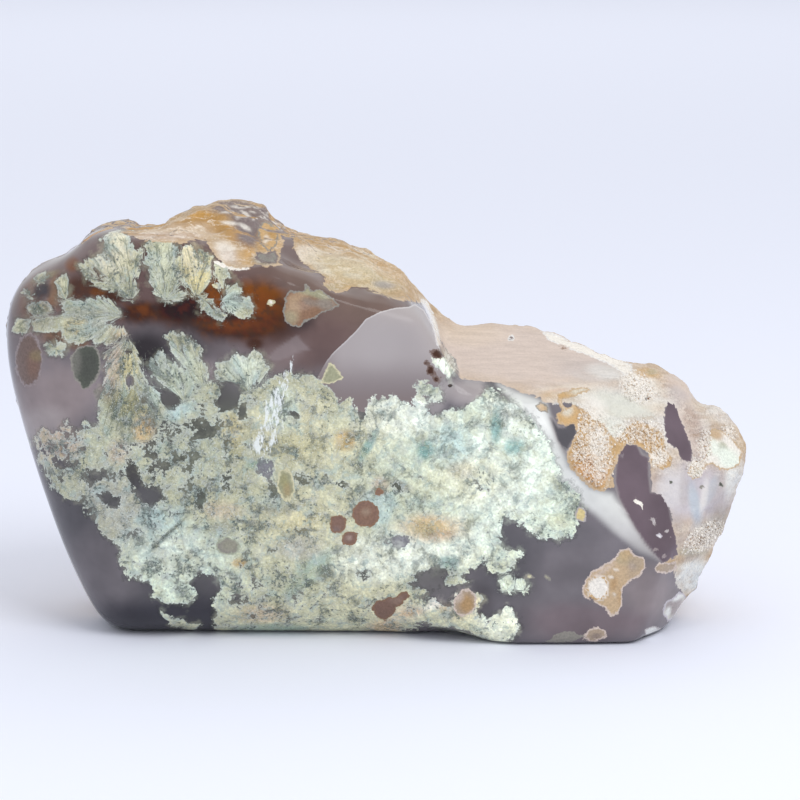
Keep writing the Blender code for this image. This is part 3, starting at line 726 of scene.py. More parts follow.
# %% Rough skin colours
SKIN_TINTS = [
    ("shell", 170, 232, 44, 9, 0, 0.6), ("ochre", 132, 227, 12, 6, 0, 0.7), ("clay", 165, 236, 40, 4, 0, 0.5),
    ("ochre", 205, 218, 36, 9, -12, 0.85), ("shell", 190, 226, 24, 4, -5, 0.5),
    ("ochre", 234, 232, 24, 12, 20, 1.0), ("amber", 240, 234, 16, 9, 42, 0.8),
    ("amber", 249, 251, 6, 12, -8, 0.7), ("amber", 198, 214, 16, 5, -10, 0.5),
    ("bone", 226, 252, 14, 10, 40, 0.75), ("clay", 232, 258, 13, 6, 20, 0.5),
    ("honey", 246, 258, 12, 8, 20, 0.7), ("rock", 250, 230, 17, 18, 30, 1.0),
    ("rock", 232, 207, 28, 8, 0, 0.95), ("rock", 262, 214, 14, 9, 30, 0.95),
    ("rock", 244, 218, 17, 14, 20, 0.95), ("bone", 238, 207, 8, 1.8, 5, 0.7),
    ("bone", 225, 212, 6, 1.2, -10, 0.6), ("bone", 246, 214, 7, 1.6, 35, 0.8),
    ("bone", 257, 218, 5, 1.0, -25, 0.9), ("bone", 229, 223, 9, 2.2, 5, 0.8),
    ("bone", 245, 227, 7, 2.4, 30, 0.75), ("bone", 238, 216, 3, 3.6, 20, 0.5),
    ("bone", 253, 212, 3, 1.0, 20, 0.8), ("fog", 118, 228, 11, 3.2, 0, 0.8),
    ("amber", 133, 226, 10, 4, 0, 0.5), ("honey", 256, 205, 9, 3, 0, 0.7),
    ("honey", 271, 238, 13, 16, 20, 0.9), ("ochre", 262, 238, 5, 12, 10, 0.5),
    ("bone", 268, 244, 4, 4, 0, 0.5), ("ash", 265, 259, 13, 6, 0, 0.9), ("bone", 308, 254, 12, 9, 20, 0.8),
    ("shell", 330, 262, 36, 12, 20, 0.8), ("honey", 345, 272, 34, 10, 20, 0.4),
    ("bone", 322, 268, 12, 4, 30, 0.5), ("bone", 352, 276, 12, 3, 10, 0.5),
    ("amber", 344, 287, 12, 2.4, 5, 0.5), ("bone", 374, 268, 10, 3, 25, 0.5),
    ("ochre", 330, 246, 40, 5, 12, 0.5), ("shell", 355, 262, 40, 6, 18, 0.5),
    ("leaf", 335, 287, 12, 4, 0, 0.4), ("cream", 352, 272, 50, 15, 20, 0.45),
    ("grey_lilac", 384, 285, 12, 4, 8, 0.6), ("honey", 385, 270, 24, 7, 25, 0.4),
    ("ash", 115, 229, 9, 5, 0, 0.8), ("orange", 86, 236, 9, 5, -35, 0.6), ("clay", 520, 355, 130, 40, 5, 1.0),
    ("shell", 470, 335, 40, 12, 0, 0.4), ("fog", 600, 372, 50, 14, 10, 0.35),
    ("bone", 428, 318, 5, 22, -18, 0.95), ("bone", 446, 358, 5, 16, -32, 0.8),
    ("shell", 572, 388, 34, 4, -5, 0.8), ("orange", 560, 390, 12, 2, -5, 0.4),
    ("honey", 552, 396, 12, 5, 0, 0.7), ("quartz", 640, 420, 90, 40, 10, 0.8),
    ("pearl", 615, 405, 50, 16, 6, 1.0), ("bone", 592, 408, 18, 12, 35, 0.8),
    ("snow", 612, 428, 22, 10, 15, 0.5), ("shell", 668, 412, 30, 7, 20, 0.5),
    ("opal_blue", 558, 411, 8, 8, 0, 0.9), ("bone", 640, 386, 22, 15, 30, 0.95),
    ("honey", 648, 373, 14, 5, 10, 0.85), ("leaf", 652, 372, 6, 3, 0, 0.5),
    ("clay", 680, 385, 22, 17, 50, 0.8), ("fog", 678, 396, 16, 8, 40, 0.5),
    ("clay", 692, 430, 13, 32, -20, 0.95), ("bark", 692, 424, 8, 20, -20, 0.35),
    ("quartz", 720, 412, 22, 10, 35, 0.7), ("fog", 715, 440, 20, 20, 0, 0.4),
    ("lavender", 690, 462, 12, 14, 0, 0.5), ("opal", 690, 492, 48, 34, 0, 0.95),
    ("quartz", 672, 485, 16, 24, 0, 0.4), ("opal_blue", 695, 505, 6, 24, -10, 0.7),
    ("opal_blue", 712, 490, 5, 18, 20, 0.5), ("quartz", 704, 498, 4, 20, 8, 0.6),
    ("lavender", 684, 488, 5, 20, 0, 0.4), ("lavender", 722, 495, 14, 22, 20, 0.5),
    ("quartz", 735, 470, 10, 20, 0, 0.6), ("quartz", 704, 537, 30, 18, -30, 0.6),
    ("ash", 706, 534, 24, 12, -40, 0.35), ("ash", 722, 520, 14, 13, -40, 0.4),
    ("blush", 690, 540, 14, 10, 0, 0.5), ("leaf", 692, 552, 14, 5, 0, 0.5), ("fog", 676, 530, 9, 16, 0, 0.5),
    ("milk", 692, 576, 24, 18, -35, 1.0), ("opal_blue", 700, 582, 10, 12, 0, 0.35),
    ("bark", 690, 558, 12, 4, -20, 0.4), ("milk", 734, 478, 9, 22, 10, 0.8),
    ("milk", 606, 372, 20, 8, 10, 0.5),
]
FAR_OUTSIDE = -30.0

skin_px = inside_rough(FAR_OUTSIDE, [SMOOTH_BAND, *SLOPE_WINDOWS, LOWER_WINDOW])
skin_tint = wash_ovals(np.tile(COLOUR["tan"], (len(px), 1)), SKIN_TINTS)

hidden = facing < SEEN_ABOVE
rind_px = (places[:, 1] - RIND_STARTS_AT + RIND_WANDERS * wander) / MM_PER_PX
rind = np.tile(COLOUR["tan"], (len(px), 1))
rind = wash(rind, COLOUR["ochre"], 0.8 * rise(0.0, 0.6, wander))
rind = wash(rind, COLOUR["shell"], 0.8 * rise(0.05, 0.5, -wander + 0.5 * mottle))
rind = wash(rind, COLOUR["ash"], 0.7 * rise(0.25, 0.7, mottle))
rind = wash(rind, COLOUR["bark"], 0.6 * rise(0.35, 0.8, wander - mottle))
skin_px = np.where(hidden, rind_px, skin_px)
skin_tint = np.where(hidden[:, None], rind, skin_tint)
print("skin tints:", len(SKIN_TINTS))

# %% [markdown]
# Solid inclusions sit in the stone with sharp outlines: pieces of old rind with a pale rim, round red-brown
# jasper beads, olive nodules, and the lobes of sugary quartz on the slope. One thin bone-white strip in the
# list is a painted highlight along the pale lower edge of the old skin on top. Each has a colour for its
# heart and one for its rim. The hearts are tinted again with soft ovals, and a white fracture crosses the
# moss.

# %% Inclusions
INCLUSIONS_AND_A_HIGHLIGHT = [
    # heart, rim, outline
    ("bark", "ash", [
        (285, 296), (290, 290), (298, 291), (303, 290), (304, 284), (309, 285), (312, 290), (320, 289),
        (327, 294), (334, 298), (339, 305), (334, 310), (322, 314), (314, 318), (306, 321), (300, 327),
        (291, 327), (284, 321), (283, 308)]),
    ("tan", "clay", [
        (582, 590), (586, 578), (592, 570), (604, 565), (614, 558), (620, 550), (628, 548), (634, 554),
        (644, 557), (646, 566), (641, 576), (630, 582), (622, 590), (624, 600), (620, 612), (612, 617),
        (604, 608), (592, 601), (584, 597)]),
    ("brick", "bark", [
        (371, 607), (377, 600), (388, 597), (397, 597), (401, 592), (407, 591), (410, 596), (404, 603),
        (398, 607), (393, 614), (387, 621), (379, 619), (374, 614)]),
    ("leaf", "cream", [(319, 384), (325, 372), (330, 361), (337, 368), (346, 378), (332, 384)]),
    ("fawn", "clay", [(652, 568), (659, 562), (668, 563), (676, 561), (677, 569), (668, 574), (658, 573)]),
    ("ash", "ash", [(546, 642), (552, 636), (562, 631), (574, 632), (584, 636), (576, 641), (560, 643)]),
    ("fawn", "clay", [(582, 640), (587, 631), (595, 626), (605, 629), (608, 637), (596, 642)]),
    ("cream", "ash", [(522, 576), (528, 571), (535, 577), (528, 581)]),
    ("cream", "ash", [(544, 575), (550, 576), (551, 581), (545, 581)]),
    ("pearl", "opal", [
        (662, 612), (665, 602), (672, 598), (680, 591), (687, 596), (682, 610), (676, 618), (668, 622)]),
    ("milk", "fog", [(644, 628), (652, 626), (662, 628), (661, 636), (650, 640), (645, 636)]),
    ("bone", "quartz", [
        (540, 330), (556, 334), (570, 340), (585, 345), (602, 350), (618, 357), (632, 364), (633, 374),
        (624, 376), (612, 366), (600, 361), (588, 356), (575, 352), (560, 346), (548, 341)]),
    # A painted highlight: a thin bone-white strip along the pale lower edge of the ochre skin.
    ("bone", "bone", [
        (211, 260), (219, 261), (228, 266), (239, 268), (250, 268), (250, 270), (238, 270.5), (226, 269),
        (218, 266)]),
    ("bone", "tan", [
        (709, 438), (712, 428), (724, 431), (735, 441), (743, 451), (740, 464), (732, 470), (720, 470),
        (712, 464), (705, 467), (702, 476), (693, 480), (687, 473), (691, 463), (702, 460), (708, 450)]),
    ("quartz", "bone", [(633, 499), (636, 496), (639, 500), (644, 504), (643, 510), (640, 506), (635, 503)]),
    ("opal", "lavender", [(650, 518), (654, 517), (657, 521), (656, 527), (652, 525)]),
    ("milk", "opal", [(655, 535), (659, 533), (662, 537), (658, 539)]),
    ("tan", "ash", [(534, 406), (541, 402), (548, 406), (549, 414), (541, 412)]),
    ("honey", "ash", [
        (257, 230), (261, 223), (268, 221), (275, 226), (279, 236), (276, 247), (268, 251), (261, 245),
        (258, 238)]),
    ("moss_dark", "ash", [
        (70, 356), (77, 348), (86, 344), (96, 346), (101, 355), (101, 368), (97, 379), (90, 387), (83, 390),
        (76, 381), (71, 370)]),
    ("ash", "rock", [(256, 251), (264, 253), (275, 250), (279, 258), (276, 264), (262, 263), (255, 258)]),
    ("bone", "quartz", [
        (419, 298), (427, 299), (432, 310), (437, 322), (440, 336), (442, 347), (437, 345), (433, 330),
        (428, 316), (422, 305)]),
    ("honey", "tan", DRUSE_LOBES),
]
ROUND_INCLUSIONS = [
    # heart, rim, middle, radii, turn
    ("brick", "bark", 366, 514, 14.0, 13.5, 0), ("brick", "bark", 338, 524, 8.5, 10.0, 10),
    ("brick", "bark", 349.5, 538, 9.0, 7.5, -15), ("brick", "bark", 379, 492, 5.0, 4.5, 0),
    ("fawn", "clay", 465, 603, 11.0, 14.0, 20), ("bone", "honey", 598, 588, 11.0, 13.0, 15),
    ("umber", "smoke", 29, 360, 14.0, 28.0, 0), ("leaf", "cream", 286, 485, 9.0, 17.0, -8),
    ("ash", "sage", 228, 546, 13.0, 9.0, 10), ("bone", "cream", 271, 303, 4.0, 4.0, 0),
    ("bone", "cream", 215, 286, 2.6, 2.6, 0), ("rust_deep", "umber", 437, 354, 8.0, 5.5, 20),
    ("rust_deep", "umber", 431, 371, 5.0, 5.5, 0), ("brick", "ink", 451, 386, 3.0, 2.6, 0),
    ("rust_deep", "umber", 437, 379, 5.0, 4.0, 30), ("rust_deep", "umber", 426, 363, 3.6, 3.0, 0),
    ("butter", "fog", 581, 515, 6.0, 8.0, -10), ("rock", "quartz", 511, 338, 4.0, 3.6, 0),
    ("bark", "clay", 563, 348, 6.0, 3.0, 20), ("ink", "gap", 671, 482, 2, 2, 0),
    ("gap", "ash", 703, 487, 3, 2.2, 0), ("opal", "lavender", 653, 519, 3.4, 2.0, 0),
    ("opal", "lavender", 667, 531, 2, 2, 0), ("lavender", "smoke", 670, 538, 1.8, 2.4, 0),
    ("smoke", "smoke", 664, 556, 5, 1.8, -20), ("smoke", "smoke", 655, 550, 3, 1.6, 0),
    ("ink", "gap", 721, 485, 2, 2, 0), ("ink", "bark", 648, 398, 2.5, 1.6, 0),
]
HEART_TINTS = [
    ("tan", 300, 296, 12, 5, -20, 0.45), ("blush", 300, 306, 12, 5, 0, 0.3),
    ("ash", 326, 304, 10, 7, 20, 0.7), ("tan", 293, 310, 8, 14, 0, 0.5), ("ash", 310, 302, 10, 4, 20, 0.5),
    ("honey", 590, 400, 34, 14, 0, 0.6), ("orange", 590, 472, 20, 20, -20, 0.5),
    ("bone", 598, 444, 11, 20, 0, 0.85), ("bone", 600, 470, 7, 12, 0, 0.5), ("sand", 576, 452, 9, 14, 0, 0.6),
    ("sand", 592, 486, 8, 7, 0, 0.6), ("sand", 640, 436, 20, 8, 0, 0.5), ("bone", 660, 457, 9, 8, 0, 0.85),
    ("tan", 650, 430, 12, 6, 0, 0.6), ("orange", 572, 388, 12, 3, 0, 0.35), ("bone", 566, 402, 8, 4, 0, 0.6),
    ("bone", 710, 450, 9, 12, 0, 0.9), ("leaf", 723, 448, 5, 7, -30, 0.8),
    ("snow", 728, 458, 16, 10, 30, 1.0), ("snow", 712, 448, 8, 12, 0, 0.8),
    ("ochre", 715, 434, 9, 6, 20, 0.7), ("bone", 712, 460, 8, 6, 0, 0.8), ("leaf", 696, 472, 6, 5, 0, 0.5),
    ("ochre", 693, 470, 5, 5, 0, 0.4), ("leaf", 624, 558, 9, 7, 0, 0.35), ("tan", 610, 572, 12, 8, 0, 0.4),
    ("honey", 628, 556, 8, 7, 0, 0.4), ("clay", 603, 571, 14, 3, -35, 0.6), ("sand", 614, 584, 4, 8, 10, 0.6),
    ("fawn", 634, 574, 8, 8, 0, 0.5), ("sand", 622, 596, 5, 12, 0, 0.4), ("bone", 611, 577, 2, 2, 0, 0.9),
    ("bone", 616, 570, 1.8, 1.6, 0, 0.8), ("blush", 632, 566, 4, 4, 0, 0.7),
    ("bone", 614, 595, 2, 1.6, 0, 0.7), ("smoke", 674, 606, 12, 12, 0, 0.9),
    ("milk", 678, 597, 7, 3, -35, 1.0), ("milk", 668, 612, 3, 6, 20, 0.9), ("rock", 596, 636, 6, 3, -10, 0.6),
    ("bone", 266, 239, 3, 5, 20, 0.7), ("ochre", 272, 232, 5, 6, 20, 0.6), ("rock", 269, 256, 4, 3, 0, 0.5),
    ("ash", 636, 562, 10, 9, 0, 0.4), ("brick", 33, 365, 7, 14, 0, 0.8), ("ochre", 467, 604, 8, 10, 0, 0.6),
    ("clay", 459, 597, 5, 6, 0, 0.6), ("leaf", 313, 292, 22, 5, 15, 0.85), ("leaf", 289, 318, 9, 8, 0, 0.5),
    ("pearl", 567, 410, 7, 7, 0, 0.7), ("pearl", 586, 391, 20, 6, 0, 0.75),
    ("bark", 366, 514, 11, 11, 0, 0.5), ("fawn", 366, 512, 5, 4, 0, 0.45), ("rock", 336, 530, 5, 4, 0, 0.5),
    ("clay", 349, 538, 3, 3, 0, 0.3), ("ash", 75, 362, 7, 16, 0, 0.5), ("night", 88, 366, 12, 18, 0, 0.35),
    ("blush", 396, 600, 8, 5, 0, 0.2), ("olive", 37, 356, 8, 6, 0, 0.3), ("ochre", 287, 490, 4, 8, 0, 0.35),
    ("leaf", 230, 545, 10, 6, 0, 0.35), ("olive", 284, 480, 5, 8, 0, 0.5),
]
FRACTURE = [
    (294, 354), (293, 368), (290, 382), (288, 396), (284, 414), (282, 430), (272, 450), (262, 460),
    (253, 452), (250, 444), (258, 432), (258, 416), (266, 400), (274, 388), (284, 372),
]
FRACTURE_HELD_AT = 3.6

patch_px = np.full(len(px), FAR_OUTSIDE)
patch_heart = np.tile(COLOUR["bark"], (len(px), 1))
patch_rim = np.tile(COLOUR["tan"], (len(px), 1))
shapes = [(heart, rim, inside_outline(px, py, outline)) for heart, rim, outline in INCLUSIONS_AND_A_HIGHLIGHT]
shapes += [(heart, rim, inside_oval(px, py, *oval)) for heart, rim, *oval in ROUND_INCLUSIONS]
for heart, rim, inside in shapes:
    wins = inside > np.where(patch_px > 0.0, np.minimum(patch_px, 0.0), patch_px)
    patch_px = np.where(wins, inside, patch_px)
    patch_heart = np.where(wins[:, None], COLOUR[heart], patch_heart)
    patch_rim = np.where(wins[:, None], COLOUR[rim], patch_rim)
patch_heart = wash_ovals(patch_heart, HEART_TINTS)
patch_px = np.where(hidden, FAR_OUTSIDE, patch_px)
fracture_px = np.where(hidden, FAR_OUTSIDE, np.minimum(inside_outline(px, py, FRACTURE), FRACTURE_HELD_AT))
print("inclusions:", len(shapes))

# %% [markdown]
# Last, the finish of each point: how matt it is, how grainy, and how much it shows the wavy layers of old
# skin. Quartz crystals sparkle where the druse lies, and the split face has faint level stripes. The veil of
# the polish is taken off the colours here, but none gets darker than near black.

# %% Finish of each point
FINISHES = [
    # middle, radii, turn, how matt, how grainy, how layered
    (190, 228, 84, 14, -5, 0.8, 0.6, 1.0), (226, 246, 26, 20, 30, 0.6, 0.5, 0.6),
    (345, 266, 66, 26, 18, 0.7, 1.0, 0.5), (240, 215, 34, 14, 10, 0.7, 0.9, 0.15),
    (251, 230, 17, 17, 30, 0.6, 0.8, 0.1), (520, 355, 130, 40, 5, 0.9, 0.35, 0.0),
    (690, 497, 48, 32, 0, 0.3, 0.25, 0.1), (620, 404, 40, 12, 6, 0.45, 0.3, 0.1),
    (636, 388, 22, 18, 30, 0.8, 1.0, 0.0), (690, 385, 26, 20, 50, 0.35, 0.3, 0.1),
    (704, 538, 32, 18, -30, 0.7, 1.0, 0.0),
]
DRUSE = [(590, 446, 24, 42, -15), (640, 434, 30, 15, 0), (656, 455, 14, 14, 0), (638, 388, 20, 16, 30),
         (705, 448, 8, 20, 0), (696, 466, 10, 12, 0), (730, 432, 10, 6, 40), (703, 537, 26, 13, -35)]
DARKEST = 0.004

matt = 0.85 * rise(-2.0, 3.0, skin_px)
grain = rise(-1.0, 4.0, skin_px)
layered = 0.5 * rise(-1.0, 4.0, skin_px)
for *oval, how_matt, how_grainy, how_layered in FINISHES:
    there = rise(-0.2, 0.4, in_oval(*oval)) * ((skin_px > 0.0) & ~hidden)
    matt += (how_matt - matt) * there
    grain += (how_grainy - grain) * there
    layered += (how_layered - layered) * there
matt = np.maximum(matt, matt_shell)
druse = np.zeros(len(px))
for oval in DRUSE:
    druse = np.maximum(druse, rise(-0.1, 0.4, in_oval(*oval)))
druse *= (skin_px > 1.0) & ~hidden
striped = rise(0.0, 4.0, inside_outline(px, py, NOTCH_FACE)) * ~hidden
polished = 1.0 - rise(-2.0, 2.0, skin_px)
ground = np.maximum(ground - POLISH_GLARE * polished[:, None], DARKEST)
moss_tint = np.maximum(moss_tint - POLISH_GLARE * polished[:, None], DARKEST)
print("matt share:", round(float(matt.mean()), 2), "druse share:", round(float(druse.mean()), 3))


# %% [markdown]
# Everything worked out so far is one number, direction or colour for each point. Stored as attributes on the
# mesh, these layers reach the material without any image, and they stay with the stone wherever it goes.

# %% Store the layers on the mesh
def store(thing, name, values):
    """Keeps one value per point: a number, three numbers or a colour, by the shape of what it is given."""
    values = np.asarray(values, np.float32)
    if values.ndim == 1:
        thing.data.attributes.new(name, "FLOAT", "POINT").data.foreach_set("value", values)
    elif name == "grow":
        thing.data.attributes.new(name, "FLOAT_VECTOR", "POINT").data.foreach_set("vector", values.ravel())
    else:
        values = np.c_[np.clip(values, 0, 1), np.ones(len(values))].astype(np.float32)
        thing.data.attributes.new(name, "FLOAT_COLOR", "POINT").data.foreach_set("color", values.ravel())


SHELL_RIM_FADES = (372.0, 345.0)

for name, values in [
    ("moss", moss_px * MM_PER_PX), ("patch", patch_px * MM_PER_PX), ("skin", skin_px * MM_PER_PX),
    ("shell", np.where(hidden, FAR_OUTSIDE, shell_px) * MM_PER_PX), ("fracture", fracture_px * MM_PER_PX),
    ("druse", druse), ("striped", striped), ("fan", fan_share),
    ("shell_rim", rise(*SHELL_RIM_FADES, py)), ("grow", grow), ("ground", ground),
    ("shell_tint", shell_paint), ("moss_tint", moss_tint), ("patch_heart", patch_heart),
    ("patch_rim", patch_rim), ("skin_tint", skin_tint),
    ("finish", np.stack([matt, grain, layered], axis=1)),
]:
    store(stone, name, values)
print("layers:", [layer.name for layer in stone.data.attributes if not layer.name.startswith(".")])


# %% [markdown]
# The quartz druse is a crust of tiny crystals. Each one is a stub of a six-sided prism with a pointed end,
# and it stands nearly at right angles to the surface. One crystal is written down as an array of corners.
# All the others are that crystal scaled, turned and moved, and they are joined in one mesh. The draws come
# from one seeded generator, so each run grows the same crust. Lengths are in millimetres.

# %% Quartz crystals on the slope
CRYSTALS = 2500
SIDES = 6
CRYSTAL_RADII = (0.11, 0.27)
LEAN = 0.35
SCATTER = 0.12

dice = np.random.default_rng(7)
spots = dice.choice(len(places), CRYSTALS, p=druse / druse.sum())
turns = np.radians(np.arange(SIDES) * 360.0 / SIDES)
ring = np.stack([np.cos(turns), np.sin(turns), np.zeros(SIDES)], axis=1)
one_crystal = np.concatenate([ring - (0.0, 0.0, 0.9), ring + (0.0, 0.0, 0.3), [(0.0, 0.0, 1.1)]])
upright = directions[spots] + dice.normal(0.0, LEAN, (CRYSTALS, 3))
upright /= np.linalg.norm(upright, axis=1)[:, None]
sideways = np.cross(upright, dice.normal(0.0, 1.0, (CRYSTALS, 3)))
sideways /= np.linalg.norm(sideways, axis=1)[:, None]
axes = np.stack([sideways, np.cross(upright, sideways), upright], axis=1)
radii = dice.uniform(*CRYSTAL_RADII, CRYSTALS)
middles = places[spots] + dice.normal(0.0, SCATTER, (CRYSTALS, 3))
crystal_points = np.einsum("ci,nij->ncj", one_crystal, axes) * radii[:, None, None] + middles[:, None, :]
crystal_points = np.clip(crystal_points.reshape(-1, 3), low, high)
sides = [(i, (i + 1) % SIDES, SIDES + (i + 1) % SIDES, SIDES + i) for i in range(SIDES)]
tips = [(SIDES + i, SIDES + (i + 1) % SIDES, 2 * SIDES) for i in range(SIDES)]
one_skin = sides + tips + [tuple(reversed(range(SIDES)))]
corners = len(one_crystal)
crystal_faces = [tuple(corners * n + corner for corner in face) for n in range(CRYSTALS) for face in one_skin]
crystal_mesh = bpy.data.meshes.new("quartz_crystals")
crystal_mesh.from_pydata((crystal_points * MM).tolist(), [], crystal_faces)
crystals = bpy.data.objects.new("quartz_crystals", crystal_mesh)
bpy.context.scene.collection.objects.link(crystals)
stain = np.where((patch_px[spots] > 0.0)[:, None], patch_heart[spots], skin_tint[spots])
crystal_tint = wash(stain, COLOUR["bone"], dice.uniform(0.3, 1.0, CRYSTALS))
store(crystals, "crystal_tint", np.repeat(crystal_tint, corners, axis=0))
print("crystals:", CRYSTALS, "faces:", len(crystal_faces))

# %% [markdown]
# Materials are built from nodes. One small function adds any node, sets what it is given and links what
# comes from other nodes, so a material reads from top to bottom like a recipe.

# %% The node helper
def add(tree, kind, inputs=None, output=0, **settings):
    """Adds a node with its settings, sets or links its inputs and returns one of its outputs."""
    made = tree.nodes.new("ShaderNode" + kind)
    for name, value in settings.items():
        setattr(made, name, value)
    for key, value in (inputs or {}).items():
        if isinstance(value, bpy.types.NodeSocket):
            tree.links.new(value, made.inputs[key])
        else:
            made.inputs[key].default_value = value
    working = [socket for socket in made.outputs if socket.enabled]
    return working[output] if isinstance(output, int) else made.outputs[output]


def paint(code):
    """A hex colour as a colour socket takes it."""
    return (*linear(code), 1.0)


print("the helper is ready")


# %% [markdown]
# Polished chalcedony is quartz so fine that it takes a glassy polish: refractive index 1.54 and a roughness
# near 0.1. What is seen through that surface is layered here: smoky ground, a haze of moss lying deeper,
# crisp moss near the surface, and the inclusions. Rough skin covers them where the stone wasn't ground.
# The same few nodes come back again and again, so each gets a short function of its own.

# %% Chalcedony: the material and its shorthands
agate = bpy.data.materials.new("polished_moss_agate")
agate.use_nodes = True
tree = agate.node_tree
shader = tree.nodes["Principled BSDF"]


def layer(name, output=0):
    """A layer that was stored on the mesh."""
    return add(tree, "Attribute", output=output, attribute_name=name)


def fractal(where, scale, detail, roughness=0.5, distortion=0.0, output=0):
    """Cloudy noise at a place."""
    inputs = {"Vector": where, "Scale": scale, "Detail": detail, "Roughness": roughness}
    return add(tree, "TexNoise", {**inputs, "Distortion": distortion}, output)


def turned(where, degrees, scale):
    """A place tilted in the picture and then stretched along its axes."""
    rotation = (0.0, math.radians(degrees), 0.0)
    return add(tree, "Mapping", {"Vector": where, "Rotation": rotation, "Scale": scale})


def remap(value, low, high, to_low=0.0, to_high=1.0, **settings):
    """What runs from low to high runs from to_low to to_high instead, and stops there."""
    inputs = {"Value": value, "From Min": low, "From Max": high, "To Min": to_low, "To Max": to_high}
    return add(tree, "MapRange", inputs, **settings)


def times(value, amount):
    """A number times another."""
    return add(tree, "Math", {0: value, 1: amount}, operation="MULTIPLY")


def times_plus(value, amount, rest):
    """A number times another, added to a third."""
    return add(tree, "Math", {0: value, 1: amount, 2: rest}, operation="MULTIPLY_ADD")


def scaled(vector, amount):
    """A colour or a place times a number."""
    return add(tree, "VectorMath", {0: vector, "Scale": amount}, operation="SCALE")


def pushed(where, by, amount):
    """A place pushed about by the three parts of a noise."""
    return add(tree, "VectorMath", {0: by, 1: (amount, amount, amount), 2: where}, operation="MULTIPLY_ADD")


def blend(share, under, over):
    """One colour over another, by a share from 0 to 1."""
    return add(tree, "Mix", {0: share, 6: under, 7: over}, data_type="RGBA")


print("material:", agate.name)

# %% [markdown]
# A material needs places and noises first. The place is the stone's own, in millimetres, so a noise with a
# scale of 0.4 has features about two and a half millimetres wide. Real moss is never even, so its place is
# stirred twice by other noises before the cells that make puffs and fronds are laid out in it.

# %% Chalcedony: places and noises
metres = add(tree, "TexCoord", output="Object")
place = scaled(metres, 1000.0)
grow_place = layer("grow", output="Vector")
moss_edge = layer("moss", output="Fac")
patch_edge = layer("patch", output="Fac")
skin_edge = layer("skin", output="Fac")
shell_edge = layer("shell", output="Fac")
fracture_edge = layer("fracture", output="Fac")
druse_share = layer("druse", output="Fac")
striped_share = layer("striped", output="Fac")
fan = layer("fan", output="Fac")
shell_rim = layer("shell_rim", output="Fac")
ground_paint = layer("ground")
shell_tint = layer("shell_tint")
moss_paint = layer("moss_tint")
heart_paint = layer("patch_heart")
rim_paint = layer("patch_rim")
skin_paint = layer("skin_tint")
finish = layer("finish")
matt_share, grain_share, layered_share = list(add(tree, "SeparateColor", {0: finish}).node.outputs)[:3]

swirl = fractal(grow_place, 0.3, 2.0, output="Color")
swirled = pushed(grow_place, swirl, 3.0)
ripple = fractal(swirled, 1.4, 3.0, output="Color")
grown = pushed(swirled, ripple, 1.1)
big = add(tree, "TexVoronoi", {"Vector": grown, "Scale": 0.42}).node.outputs
small = add(tree, "TexVoronoi", {"Vector": grown, "Scale": 1.25}).node.outputs
small_parts = add(tree, "SeparateColor", {0: small["Color"]}).node.outputs
bumpy = pushed(place, ripple, 0.8)
ragged = fractal(grow_place, 0.36, 9.0, 0.74)
cluster = fractal(place, 0.2, 3.0, 0.6)
grit = fractal(place, 2.4, 4.0, 0.75)
dust = fractal(place, 5.0, 2.0, 0.7)
print("places and noises:", len(tree.nodes), "nodes")

# %% [markdown]
# Moss in agate ends in torn, feathery fronds. Each point knows how far it lies inside its clump, and noises
# and cells are added to that distance before it is cut off, which frays the edge but keeps the drawn form.

# %% Chalcedony: the moss's torn edge
torn = times_plus(ragged, 5.0, moss_edge)
torn = times_plus(big["Distance"], -1.1, torn)
torn = times_plus(small["Distance"], -0.9, torn)
torn = times_plus(grit, 1.5, torn)
frond_edge = add(tree, "Math", {0: torn, 1: 2.2}, operation="SUBTRACT")
moss_mask = remap(frond_edge, 0.0, 0.14, interpolation_type="SMOOTHSTEP")
print("torn edge:", len(tree.nodes), "nodes so far")

# %% [markdown]
# Under the moss lies the smoky ground, cloudy like breath on glass. Moss that lies deeper shows as a haze
# round each clump, with a thin dark shade where the crisp moss stands over it. The split face has a white
# rim.

# %% Chalcedony: ground and deep haze
cloud = fractal(place, 0.11, 3.0, 0.55)
cloudy = remap(cloud, 0.3, 0.7, 0.82, 1.16)
ground_now = scaled(ground_paint, cloudy)
deep_noise = fractal(place, 0.5, 4.0, 0.6)
deep_edge = times_plus(deep_noise, 5.0, moss_edge)
deep = remap(deep_edge, 1.7, 3.6, 0.0, 0.42, interpolation_type="SMOOTHSTEP")
body = blend(deep, ground_now, moss_paint)
shade = remap(frond_edge, -0.8, -0.05, 0.0, 0.38)
body = blend(shade, body, paint("#2E302B"))
shell_rough = times_plus(grit, 0.35, shell_edge)
shell_mask = remap(shell_rough, 0.1, 0.22)
body = blend(shell_mask, body, shell_tint)
shell_line = remap(shell_rough, 0.45, 0.15, 0.0, 0.7)
shell_line = times(shell_line, shell_mask)
shell_line = times(shell_line, shell_rim)
body = blend(shell_line, body, paint("#DDDAD8"))
print("ground and haze:", len(tree.nodes), "nodes so far")

# %% [markdown]
# The moss itself is a crust of puffs. Painted shade makes them look like lit lumps: cells make each of the
# puffs light in its middle and dark at its side, at three sizes, and larger cloudy patches are darker where
# the crevices lie. A second noise drifts from cream to blue, the crevices between the puffs get dark
# painted shade, specks open between the puffs, and pale dust lies on top. Where the moss is thin the dark
# parts are strongest, and veins run out through the fans.

